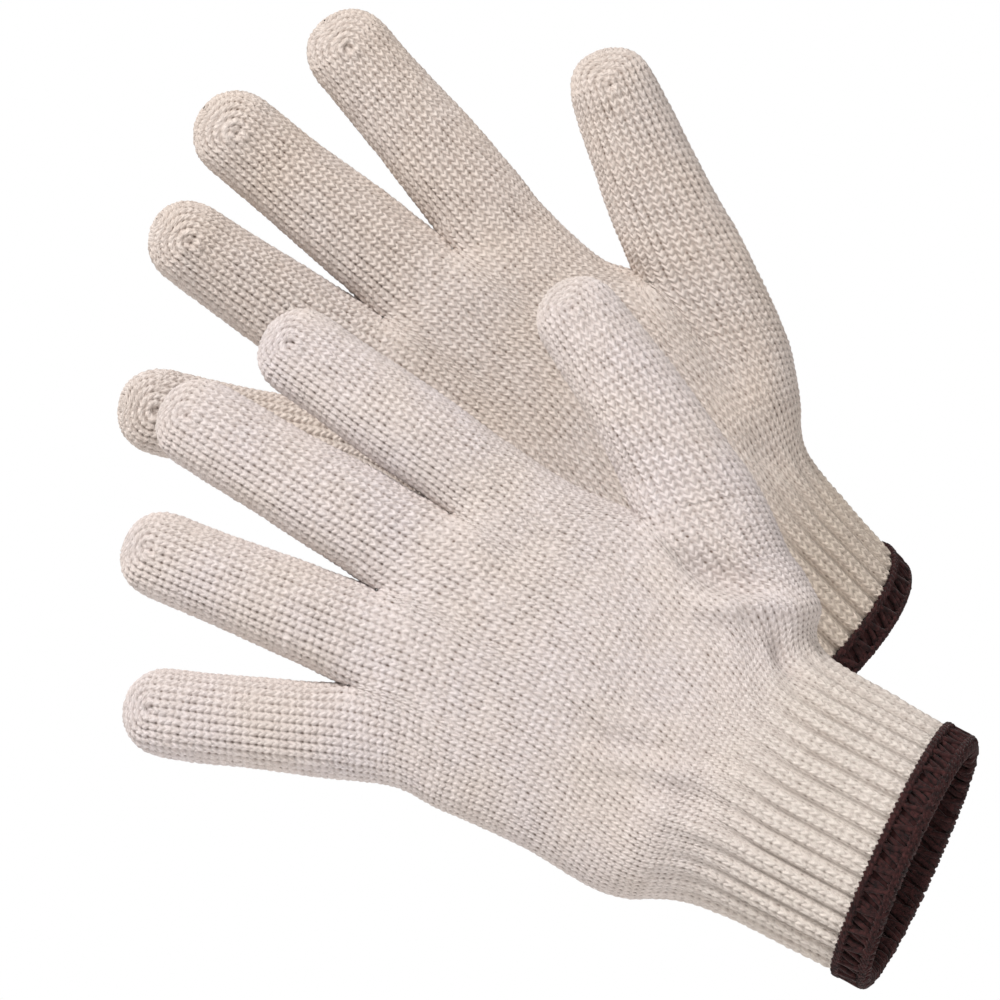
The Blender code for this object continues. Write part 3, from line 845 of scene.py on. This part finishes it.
def relief(net, fine, u, v, width):
    """Displacement in millimetres, how deep each point lies in a furrow, and how ribbed it is."""
    scale = np.clip(width / WALE_WIDTH, 0.3, 1.12)
    groove = 0.06
    knots = 0.0
    if net.digit is not None:
        scale = np.where(v > net.digit.tube_rows, 1.0, scale)
        groove = 0.06 + 0.16 * smooth(v / 4.0)
        u, v, near, around = net.digit.stitch_map(u, v)
        ring = np.exp(-(((near - 2.6) / 1.1) ** 2)) * (0.55 + 0.45 * np.sin(3 * around + 1.0))
        knots = 0.8 * ring - 1.0 * np.exp(-((near / 1.25) ** 2))
    height = stitch_height(*uneven(fine, u, v))
    height = height * (1 + 0.26 * slow_noise(fine, 1.2, 5)) + 0.02
    height = height + groove * -np.cos(2 * math.pi * u) + 0.08 * slow_noise(fine, 5.0, 3)
    height = height + 0.40 * slow_noise(fine, 11.0, 31)
    from_wrist = {"cuff": v - CUFF_COURSES, "hand": v}.get(net.name)
    if from_wrist is None:
        return height * scale + knots, np.zeros(u.shape), np.zeros(u.shape)
    ribbed = smooth((9.0 - from_wrist) / 18.0)
    ridge = rib_ridge(u) * ribbed
    purl = 0.10 * np.cos(2 * math.pi * (v + 0.5 * np.floor(u)))
    furrow = np.clip(-ridge, 0, 1) ** 0.5 * smooth(-from_wrist / 4.0)
    height = height * (1 - furrow) + purl * furrow
    rise = 0.72 + 0.08 * slow_noise(fine, 16.0, 21)
    return height * scale + rise * ridge, np.clip(-ridge, 0, 1), ribbed


# ---------------------------------------------------------------- meshes


def grid_normals(points, before, after):
    """Outward unit normals of a fine grid that is closed across its second axis."""
    du = np.roll(points, -1, axis=1) - np.roll(points, 1, axis=1)
    dv = np.empty_like(points)
    dv[1:-1] = points[2:] - points[:-2]
    dv[0] = points[1] - before
    dv[-1] = after - points[-2]
    normal = np.cross(dv, du)
    normal /= np.maximum(np.linalg.norm(normal, axis=2, keepdims=True), 1e-9)
    centre = points.mean(axis=1, keepdims=True)
    outward = np.sum(normal * (points - centre))
    return normal if outward > 0 else -normal


def fine_grid(net):
    """The net cut finer both ways, one fine row longer at each end, and its outward normals."""
    rows = finer(net.rows, SUB_V, False, net.before, net.after)
    extra = finer(np.concatenate([net.before, net.rows, net.after]), SUB_V, False)
    fine = finer(rows.swapaxes(0, 1), SUB_U, True).swapaxes(0, 1)
    wide = finer(extra.swapaxes(0, 1), SUB_U, True).swapaxes(0, 1)
    first, last = wide[SUB_V - 1 : SUB_V], wide[-SUB_V : 1 - SUB_V]
    normals = grid_normals(fine, first[0], last[0])
    fine = np.concatenate([first, fine, last])
    normals = np.concatenate([normals[:1], normals, normals[-1:]])
    count_v, count_u = fine.shape[:2]
    u = np.arange(count_u)[None, :] / SUB_U + np.zeros((count_v, 1))
    v = np.arange(-1, count_v - 1)[:, None] / SUB_V + np.zeros((1, count_u))
    return fine, normals, u, v


def knitted(net):
    """Fine points with their stitches raised, wall normals, shading normals and knit values."""
    fine, normals, u, v = fine_grid(net)
    width = np.linalg.norm(np.roll(fine, -1, axis=1) - fine, axis=2) * SUB_U
    out, furrow, ribbed = relief(net, fine, u, v, width)
    out = out + folds(net, fine, normals)
    if net.digit is not None:
        u, v, _, _ = net.digit.stitch_map(u, v)
    u, v = uneven(fine, u, v)
    side = np.abs(u - np.floor(u) - 0.5)
    raised = fine + normals * out[..., None]
    shading = grid_normals(raised[1:-1], raised[0], raised[-1])
    values = np.stack([furrow, side, v, ribbed], axis=-1)
    return raised[1:-1], normals[1:-1], shading, values[1:-1]


def folds(net, fine, normals):
    """Soft folds and swellings on the side that faces -Y: each a leaning oval hill or dent."""
    total = np.zeros(fine.shape[:2])
    if net.digit is not None:
        return total
    facing = smooth(0.5 - normals[..., 1] * 1.2)
    for x, z, long, wide, lean, height in net.folds:
        dx, dz = fine[..., 0] - x, fine[..., 2] - z
        c, s = math.cos(math.radians(lean)), math.sin(math.radians(lean))
        a, b = (dx * c + dz * s) / long, (dz * c - dx * s) / wide
        total = total + height * np.exp(-(a * a + b * b))
    return total * facing


def make_mesh(name, points, quads, polygons, values=None, shading=None):
    """A mesh of quads and a few larger faces, with the knit values of each point if it has any."""
    mesh = bpy.data.meshes.new(name)
    sizes = np.concatenate([np.full(len(quads), 4), [len(p) for p in polygons]]).astype(np.int32)
    loops = np.concatenate([quads.ravel(), *[np.asarray(p) for p in polygons]]).astype(np.int32)
    mesh.vertices.add(len(points))
    mesh.vertices.foreach_set("co", (points * MM).astype(np.float32).ravel())
    mesh.loops.add(len(loops))
    mesh.loops.foreach_set("vertex_index", loops)
    mesh.polygons.add(len(sizes))
    starts = np.concatenate([[0], np.cumsum(sizes)[:-1]]).astype(np.int32)
    mesh.polygons.foreach_set("loop_start", starts)
    mesh.polygons.foreach_set("use_smooth", sizes == 4)
    if values is not None:
        for k, label in enumerate(KNIT_VALUES):
            attribute = mesh.attributes.new(label, "FLOAT", "POINT")
            attribute.data.foreach_set("value", values[:, k].astype(np.float32))
    mesh.update(calc_edges=True)
    mesh.validate()
    if shading is not None:
        mesh.normals_split_custom_set_from_vertices(shading)
    made = bpy.data.objects.new(name, mesh)
    bpy.context.scene.collection.objects.link(made)
    return made


def shell(name, knit, looks, rows, closed_tip=False, columns=None):
    """A closed piece of knitting: raised stitches outside, a plain lining, and rims that join them.

    knit is what knitted() made. rows are the first and last course of the piece. columns, if
    given, limit it to a span of wales, and the piece then has rims along its sides as well.
    """
    outer, normals, shading, values = (part[rows[0] * SUB_V : rows[1] * SUB_V + 1] for part in knit)
    ring = columns is None
    if not ring:
        take = np.arange(columns[0] * SUB_U, columns[1] * SUB_U + 1) % outer.shape[1]
        outer, normals, shading, values = (part[:, take] for part in (outer, normals, shading, values))
    count_v, count_u = outer.shape[:2]
    lining_rows = np.arange(0, count_v, SUB_V)
    if closed_tip:
        lining_rows = lining_rows[:-LINING_GAP]
    lining_columns = np.arange(0, count_u, SUB_U)
    lining = (outer - normals * WALL)[lining_rows][:, lining_columns]
    inner_values = values[lining_rows][:, lining_columns].copy()
    # painted shade on the lining, through its furrow value
    inner_values[..., 0] = LINING_PAINTED_SHADE
    points = np.vstack([outer.reshape(-1, 3), lining.reshape(-1, 3)])
    index = np.arange(count_v * count_u).reshape(count_v, count_u)
    inside = count_v * count_u + np.arange(lining[..., 0].size).reshape(lining.shape[:2])
    quads = np.vstack([quad_sheet(index, ring), quad_sheet(inside, ring)[:, ::-1]])
    polygons = rim(index[0], inside[0], ring, False)
    if closed_tip:
        polygons.append(list(index[-1]))
        polygons.append(list(inside[-1][::-1]))
    else:
        polygons += rim(index[-1], inside[-1], ring, True)
    if not ring:
        polygons += side_rim(index[:, 0], inside[:, 0], True)
        polygons += side_rim(index[:, -1], inside[:, -1], False)
    all_values = np.vstack([values.reshape(-1, 4), inner_values.reshape(-1, 4)])
    all_shading = np.zeros(points.shape)
    all_shading[: outer[..., 0].size] = shading.reshape(-1, 3)
    made = make_mesh(name, points, quads, polygons, all_values, all_shading)
    made.data.materials.append(looks)
    return made


def quad_sheet(index, ring):
    """Quads over an index grid, closed across its second axis if it is a ring."""
    a, b = index[:-1], index[1:]
    if ring:
        right_a, right_b = np.roll(a, -1, axis=1), np.roll(b, -1, axis=1)
    else:
        a, right_a = a[:, :-1], a[:, 1:]
        b, right_b = b[:, :-1], b[:, 1:]
    return np.stack([a, b, right_b, right_a], axis=-1).reshape(-1, 4)


def rim(edge, inside, ring, top):
    """Faces between a fine edge loop and the lining's coarse one."""
    faces = []
    count = len(inside)
    for k in range(count if ring else count - 1):
        fine = [edge[(k * SUB_U + m) % len(edge)] for m in range(SUB_U + 1)]
        face = fine + [inside[(k + 1) % count], inside[k]]
        faces.append(face[::-1] if top else face)
    return faces


def side_rim(edge, inside, low):
    faces = []
    for k in range(len(inside) - 1):
        fine = [edge[k * SUB_V + m] for m in range(SUB_V + 1)]
        face = fine + [inside[k + 1], inside[k]]
        faces.append(face[::-1] if low else face)
    return faces


# ---------------------------------------------------------------- materials


def node(tree, kind, **settings):
    made = tree.nodes.new(kind)
    for key, value in settings.items():
        if key in made.inputs:
            made.inputs[key].default_value = value
        else:
            setattr(made, key, value)
    return made


def srgb(red, green, blue):
    def channel(value):
        value = value / 255
        return value / 12.92 if value <= 0.04045 else ((value + 0.055) / 1.055) ** 2.4

    return (channel(red), channel(green), channel(blue), 1.0)


class Value:
    """A number in a shader: sums written with it become Math nodes."""

    def __init__(self, tree, socket):
        self.tree, self.socket = tree, socket

    def math(self, operation, *others):
        made = self.tree.nodes.new("ShaderNodeMath")
        made.operation = operation
        for socket, value in zip(made.inputs, (self, *others)):
            connect(self.tree, value, socket)
        return Value(self.tree, made.outputs[0])

    def __add__(self, other):
        return self.math("ADD", other)

    def __sub__(self, other):
        return self.math("SUBTRACT", other)

    def __mul__(self, other):
        return self.math("MULTIPLY", other)

    def __pow__(self, other):
        return self.math("POWER", other)

    def __abs__(self):
        return self.math("ABSOLUTE")

    def ramp(self, low, high):
        """0 at low or before it, 1 at high or past it."""
        made = node(self.tree, "ShaderNodeMapRange", **{"From Min": low, "From Max": high})
        connect(self.tree, self, made.inputs["Value"])
        return Value(self.tree, made.outputs["Result"])


def connect(tree, value, socket):
    """Links a value or a node's output to a socket, or sets a plain number or colour on it."""
    value = getattr(value, "socket", value)
    if isinstance(value, bpy.types.NodeSocket):
        tree.links.new(value, socket)
    else:
        socket.default_value = value


def mix_colour(tree, factor, a, b):
    made = tree.nodes.new("ShaderNodeMix")
    made.data_type = "RGBA"
    for socket, value in ((made.inputs[0], factor), (made.inputs[6], a), (made.inputs[7], b)):
        connect(tree, value, socket)
    return made.outputs[2]


def noise(tree, where, scale, detail=3.0, rough=0.55):
    made = node(tree, "ShaderNodeTexNoise", Scale=scale, Detail=detail, Roughness=rough)
    tree.links.new(where, made.inputs["Vector"])
    return Value(tree, made.outputs["Fac"])


def bump(tree, height, strength, distance, under=None):
    made = node(tree, "ShaderNodeBump", Strength=strength, Distance=distance)
    connect(tree, height, made.inputs["Height"])
    if under is not None:
        connect(tree, under, made.inputs["Normal"])
    return made.outputs["Normal"]


def new_material(name, roughness, sheen):
    made = bpy.data.materials.new(name)
    made.use_nodes = True
    tree = made.node_tree
    shader = tree.nodes["Principled BSDF"]
    shader.inputs["Roughness"].default_value = roughness
    shader.inputs["Specular IOR Level"].default_value = 0.2
    shader.inputs["Sheen Weight"].default_value = sheen
    shader.inputs["Sheen Roughness"].default_value = 0.5
    return made, tree, shader


def stitch_nodes(side, course):
    """The same stitches as stitch_height(), worked out at every point of the surface."""
    tau = course.math("FRACT")
    other = side * -1.0 + 1.0
    fall = YARN_RADIUS * (WALE_WIDTH * LEG_ACROSS / YARN_RADIUS) ** 2
    legs = []
    for offset in (-1.0, 0.0, 1.0):
        t = tau + offset
        middle = abs(t - LEG_MIDDLE) ** 2.0 * (-LEG_RISE / LEG_HALF**2) + LEG_RISE
        centre = t * LEG_LEAN + LEG_START
        gap = abs(side - centre).math("MINIMUM", abs(other - centre))
        legs.append(middle - gap**2.0 * fall)
    return legs[0].math("MAXIMUM", legs[1]).math("MAXIMUM", legs[2])


def fibre_streaks(tree, where, side, course):
    """Streaks along the leaning legs of the stitches, different from place to place."""
    strand = tree.nodes.new("ShaderNodeCombineXYZ")
    split = tree.nodes.new("ShaderNodeSeparateXYZ")
    tree.links.new(where, split.inputs[0])
    leaned = side - course.math("FRACT") * LEG_LEAN
    height = Value(tree, split.outputs["Z"])
    for axis, value in (("X", leaned * 14.0), ("Y", course * 1.6), ("Z", height * 300.0)):
        connect(tree, value, strand.inputs[axis])
    return noise(tree, strand.outputs[0], 1.0, 3.0, 0.6)


def painted_gap_shade(tree, where, height, side, course, furrow, ribbed):
    """How much painted shade shows, in the gap shade colour: between legs, in the holes between wales, in
    furrows, where shade falls.
    """
    between = height.ramp(0.14, -0.36) ** 1.3
    swing = ((course - HOLE_AT) * (2 * math.pi)).math("COSINE")
    near = (swing * 0.5 + 0.5) ** 1.7
    hole = side.ramp(0.20, 0.5) ** 1.5 * (near * 0.86 + 0.14)
    # the painted shade of the holes is uneven, and the holes are tight in the rib
    spread = noise(tree, where, 260.0, 2.0).ramp(0.35, 0.65) * 0.72 + 0.46
    hole = hole * spread * (ribbed * -0.25 + 1.0)
    dark = (between * GAP_SHADE).math("MAXIMUM", hole)
    return dark.math("MAXIMUM", furrow**2.0 * 0.46)


def cotton(name, colours):
    """Undyed cotton string: patches of cooler and warmer cream, painted shade in the gaps, fibres along
    each leg.
    """
    made, tree, shader = new_material(name, 0.92, 0.10)
    light, warm, rib_tint, shade, gap_shade_colour = (srgb(*colour) for colour in colours)
    where = tree.nodes.new("ShaderNodeTexCoord").outputs["Object"]
    furrow, side, course, ribbed = (
        Value(tree, node(tree, "ShaderNodeAttribute", attribute_name=label).outputs["Fac"])
        for label in KNIT_VALUES
    )
    colour = mix_colour(tree, noise(tree, where, 30.0, 2.0).ramp(0.34, 0.68), light, warm)
    colour = mix_colour(tree, ribbed * 0.8, colour, rib_tint)
    streaks = fibre_streaks(tree, where, side, course)
    tone = (streaks * 0.6 + noise(tree, where, 620.0, 3.0) * 0.4).ramp(0.40, 0.62)
    colour = mix_colour(tree, tone * 0.6, colour, shade)
    height = stitch_nodes(side, course)
    # painted shade: the gap shade colour laid into the gaps, holes and furrows, where shade falls
    dark = painted_gap_shade(tree, where, height, side, course, furrow, ribbed)
    tree.links.new(mix_colour(tree, dark, colour, gap_shade_colour), shader.inputs["Base Color"])
    normal = bump(tree, height, 0.7, 0.0005)
    normal = bump(tree, streaks, 0.5, 0.00025, normal)
    normal = bump(tree, noise(tree, where, 1500.0, 4.0, 0.7), 0.7, 0.0003, normal)
    tree.links.new(normal, shader.inputs["Normal"])
    return made


def thread_material(name, colours, roughness, sheen):
    made, tree, shader = new_material(name, roughness, sheen)
    dark, light = (srgb(*colour) for colour in colours)
    where = tree.nodes.new("ShaderNodeTexCoord").outputs["Object"]
    mottled = noise(tree, where, 700.0, 4.0, 0.65).ramp(0.35, 0.7)
    tree.links.new(mix_colour(tree, mottled, dark, light), shader.inputs["Base Color"])
    normal = bump(tree, noise(tree, where, 2600.0, 4.0, 0.7), 0.6, 0.0002)
    tree.links.new(normal, shader.inputs["Normal"])
    return made


# ---------------------------------------------------------------- the overlocked edge


def tube(points, radii, sides):
    """Vertices and faces of a tube along a polyline, with a face on each end."""
    points = np.asarray(points, float)
    tangents = np.gradient(points, axis=0)
    tangents /= np.linalg.norm(tangents, axis=1, keepdims=True)
    reference = np.array([0.31, 0.87, 0.39])
    a = np.cross(tangents, reference)
    a /= np.linalg.norm(a, axis=1, keepdims=True)
    b = np.cross(tangents, a)
    angle = np.linspace(0, 2 * math.pi, sides, endpoint=False)
    ring = np.cos(angle)[None, :, None] * a[:, None] + np.sin(angle)[None, :, None] * b[:, None]
    vertices = points[:, None] + ring * np.asarray(radii)[:, None, None]
    index = np.arange(len(points) * sides).reshape(len(points), sides)
    low, high = index[:-1], index[1:]
    quads = np.stack([low, np.roll(low, -1, axis=1), np.roll(high, -1, axis=1), high], axis=-1)
    return vertices.reshape(-1, 3), quads.reshape(-1, 4), [list(index[0][::-1]), list(index[-1])]


class Heap:
    """Collects the vertices and faces of many small bodies into one mesh."""

    def __init__(self):
        self.points, self.quads, self.polygons, self.count = [], [], [], 0

    def add(self, points, quads, polygons):
        self.points.append(points)
        self.quads.append(quads + self.count)
        self.polygons += [[corner + self.count for corner in face] for face in polygons]
        self.count += len(points)

    def object(self, name, look):
        points = np.vstack(self.points)
        quads = np.vstack(self.quads)
        made = make_mesh(name, points, quads, self.polygons)
        made.data.materials.append(look)
        return made


def hoop_point(glove, place, along, out):
    """Point on the band, at a distance from the rib's end and from the middle of its wall."""
    length = section_length(glove, "wrist", "cuff_end")
    return cuff_ring(glove, 1 + along / length, np.array([place]), out - WALL / 2)[0]


def band_point(glove, place, around, lifted=0.0):
    """Point on the hoop: around 0 at its outer near edge, 1 at its inner near edge, over the rim."""
    half = BAND_WALL / 2
    bend = math.pi * half
    straight = section_length(glove, "cuff_end", "band_end") - half
    s = around * (2 * straight + bend)
    if s < straight:
        along, out = s, half
    elif s < straight + bend:
        angle = (s - straight) / half
        along, out = straight + half * math.sin(angle), half * math.cos(angle)
    else:
        along, out = straight - (s - straight - bend), -half
    return hoop_point(glove, place, along, out + lifted * np.sign(out))


def core_point(glove, place, around):
    """The hoop under the wraps: a rounded loop round the whole profile, a little slimmer."""
    reach = section_length(glove, "cuff_end", "band_end")
    half = BAND_WALL / 2 - CHAIN_RADIUS
    angle = 2 * math.pi * around
    c, s = math.cos(angle), math.sin(angle)
    along = reach / 2 + (reach / 2 - 0.4) * np.sign(c) * abs(c) ** 0.5
    return hoop_point(glove, place, along, half * np.sign(s) * abs(s) ** 0.6)


def band_core(glove):
    heap = Heap()
    hoop = [
        [core_point(glove, k / CORE_COLUMNS, m / CORE_ROWS) for k in range(CORE_COLUMNS)]
        for m in range(CORE_ROWS)
    ]
    index = np.arange(CORE_ROWS * CORE_COLUMNS).reshape(CORE_ROWS, CORE_COLUMNS)
    high = np.roll(index, -1, axis=0)
    quads = np.stack([index, high, np.roll(high, -1, axis=1), np.roll(index, -1, axis=1)], axis=-1)
    heap.add(np.array(hoop).reshape(-1, 3), quads.reshape(-1, 4), [])
    return heap


def band_wraps(glove):
    """Threads wound over the hoop, every fourth one crossing the others the other way."""
    random = np.random.default_rng(WRAP_SEEDS[glove["name"]])
    heap = Heap()
    for k in range(WRAPS):
        jitter = random.uniform(-0.25, 0.25)
        crossing = k % 4 == 3
        slant = random.uniform(-3.4, -2.2) if crossing else random.uniform(3.0, 4.4)
        start, end = random.uniform(0.0, 0.025), 1 - random.uniform(0.0, 0.03)
        lifted = CROSSING_LIFT if crossing else 0.0
        path, radii = [], []
        for m in range(WRAP_POINTS):
            share = m / (WRAP_POINTS - 1)
            place = (k + jitter + slant * (share - 0.5) + 0.12 * math.sin(9 * share + k)) / WRAPS
            path.append(band_point(glove, place, start + (end - start) * share, lifted))
            thick = 0.8 + 0.3 * math.sin(math.pi * share)
            radii.append(WRAP_RADIUS * thick * random.uniform(0.9, 1.08))
        heap.add(*tube(path, radii, 7))
    return heap


def band_chain(glove):
    """Rows of chained loops, where the thread meets the rib and along the band's middle."""
    heap = Heap()
    for shift, around, swing in CHAIN_ROWS:
        path = []
        for k in range(WRAPS * CHAIN_POINTS):
            phase = k / CHAIN_POINTS
            place = (phase + 0.34 * math.sin(4 * math.pi * (phase + shift))) / WRAPS
            swinging = 0.026 * swing * math.sin(2 * math.pi * (phase + shift))
            level = around + swinging + 0.006 * math.sin(k * 0.37)
            outward = unit(band_point(glove, place, 0.2) - band_point(glove, place, 0.8))
            raised = outward * (0.7 + 0.3 * math.cos(2 * math.pi * phase))
            path.append(band_point(glove, place, max(level, -0.03)) + raised)
        path.append(path[0])
        heap.add(*tube(path, np.full(len(path), CHAIN_RADIUS), 6))
    return heap


def overlock(glove, looks):
    """A dark hoop wound with thread, with a chain of loops where the thread meets the rib."""
    name = glove["name"]
    for make in (band_core, band_wraps, band_chain):
        made = make(glove).object(f"{name}_{make.__name__}", looks["thread"])
        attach(made, name + "_glove")
        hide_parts(name + "_overlock_edge")


# ---------------------------------------------------------------- putting a glove together


def make_digit(glove, name, digit, net, looks):
    """Two pieces, split half-way between the bends."""
    label = f"{glove['name']}_{name}"
    knit = knitted(net)
    first, second = digit.bend_distances()
    base = digit.base_skin.mean()
    split = round((first + SPLIT_PAST - base) / (digit.turn_skin - base) * digit.tube_rows)
    low = shell(label + "_lower_knit", knit, looks["plain"], (0, split))
    upper_rows = (split, len(net.rows) - 1)
    high = shell(label + "_upper_knit", knit, looks["plain"], upper_rows, closed_tip=True)

    def at(distance):
        return tuple((digit.start + digit.way * distance) * MM)

    base_row, split_row = ((net.rows[k] - digit.start) @ digit.way for k in (0, split))
    low_start = max(first - STUB, base_row.max() + 0.3)
    high_start = split_row.max() + BLEND_GAP
    at(low_start)
    at(split_row.min() - BLEND_GAP)
    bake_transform(low)
    at(high_start)
    at(2 * second - high_start)
    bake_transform(high)
    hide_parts(label + "_base")
    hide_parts(label + "_tip")


def make_glove(glove, looks):
    made, digits = glove_nets(glove)
    name = glove["name"]
    body = name + "_glove"
    cuff = shell(name + "_cuff_knit", knitted(made["cuff"]), looks["rib"], (0, CUFF_COURSES))
    palm = shell(name + "_palm_knit", knitted(made["palm"]), looks["plain"], (0, PALM_COURSES))
    knit = knitted(made["hand"])
    rows = (0, HAND_COURSES)
    middle = HAND_WALES // 2
    front = shell(name + "_hand_front_knit", knit, looks["plain"], rows, columns=(0, middle))
    back = shell(name + "_hand_back_knit", knit, looks["plain"], rows, columns=(middle, HAND_WALES))
    for piece, node_name, slot in (
        (cuff, "cuff", "rib_knit"),
        (palm, "palm", "plain_knit"),
        (front, "hand", "plain_knit"),
        (back, "hand", "plain_knit"),
    ):
        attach(piece, body)
        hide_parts(f"{name}_{node_name}")
    for digit_name, digit in digits.items():
        make_digit(glove, digit_name, digit, made[digit_name], looks)
    overlock(glove, looks)
    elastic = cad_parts[name + "_elastic_thread"]
    elastic.data.materials.clear()
    elastic.data.materials.append(looks["elastic"])


# ---------------------------------------------------------------- stage, light and camera


def make_stage():
    place = (-0.1, 0.1, FLOOR_HEIGHT)
    bpy.ops.mesh.primitive_circle_add(vertices=96, radius=2.5, fill_type="NGON", location=place)
    floor = bpy.context.object
    floor.name = "floor"
    look, _, shader = new_material("Pale floor", 0.9, 0.0)
    shader.inputs["Base Color"].default_value = (0.86, 0.86, 0.86, 1.0)
    floor.data.materials.append(look)


def make_world():
    world = bpy.data.worlds.new("Studio")
    bpy.context.scene.world = world
    world.use_nodes = True
    tree = world.node_tree
    tree.nodes.clear()
    path = tree.nodes.new("ShaderNodeLightPath").outputs["Is Camera Ray"]
    soft = node(tree, "ShaderNodeBackground", Color=(1.0, 0.955, 0.91, 1.0), Strength=0.40)
    white = node(tree, "ShaderNodeBackground", Color=(1.0, 1.0, 1.0, 1.0), Strength=1.0)
    mixed = tree.nodes.new("ShaderNodeMixShader")
    output = tree.nodes.new("ShaderNodeOutputWorld")
    tree.links.new(path, mixed.inputs[0])
    tree.links.new(soft.outputs[0], mixed.inputs[1])
    tree.links.new(white.outputs[0], mixed.inputs[2])
    tree.links.new(mixed.outputs[0], output.inputs[0])


def area_light(name, place, size, power, colour):
    """A round soft light aimed at the gloves."""
    light = bpy.data.lights.new(name, "AREA")
    light.shape = "DISK"
    light.size = size
    light.energy = power
    light.color = colour
    made = bpy.data.objects.new(name, light)
    made.location = place
    made.rotation_mode = "QUATERNION"
    made.rotation_quaternion = (Vector(CENTRE) - Vector(place)).to_track_quat("-Z", "Y")
    bpy.context.scene.collection.objects.link(made)


def make_camera():
    data = bpy.data.cameras.new("Camera")
    data.sensor_width = SENSOR_WIDTH
    data.lens = SENSOR_WIDTH * CAMERA_DISTANCE / FRAME_WIDTH
    data.clip_end = 60.0
    made = bpy.data.objects.new("Camera", data)
    made.location = (CENTRE[0], CENTRE[1] - CAMERA_DISTANCE, CENTRE[2])
    made.rotation_euler = (math.pi / 2, 0, 0)
    bpy.context.scene.collection.objects.link(made)
    bpy.context.scene.camera = made


make_camera()
make_stage()
make_world()
for light in LIGHTS:
    area_light(*light)
bpy.context.scene.view_settings.view_transform = "Standard"

looks = {
    "thread": thread_material("Overlock thread", THREAD, 0.85, 0.08),
    "elastic": thread_material("Elastic thread", ELASTIC, 0.8, 0.05),
}
for glove in (LEFT, RIGHT):
    colours = COTTON[glove["name"]]
    looks["plain"] = cotton(f"Cotton knit, {glove['name']}", colours)
    looks["rib"] = cotton(f"Cotton rib, {glove['name']}", colours)
    make_glove(glove, looks)
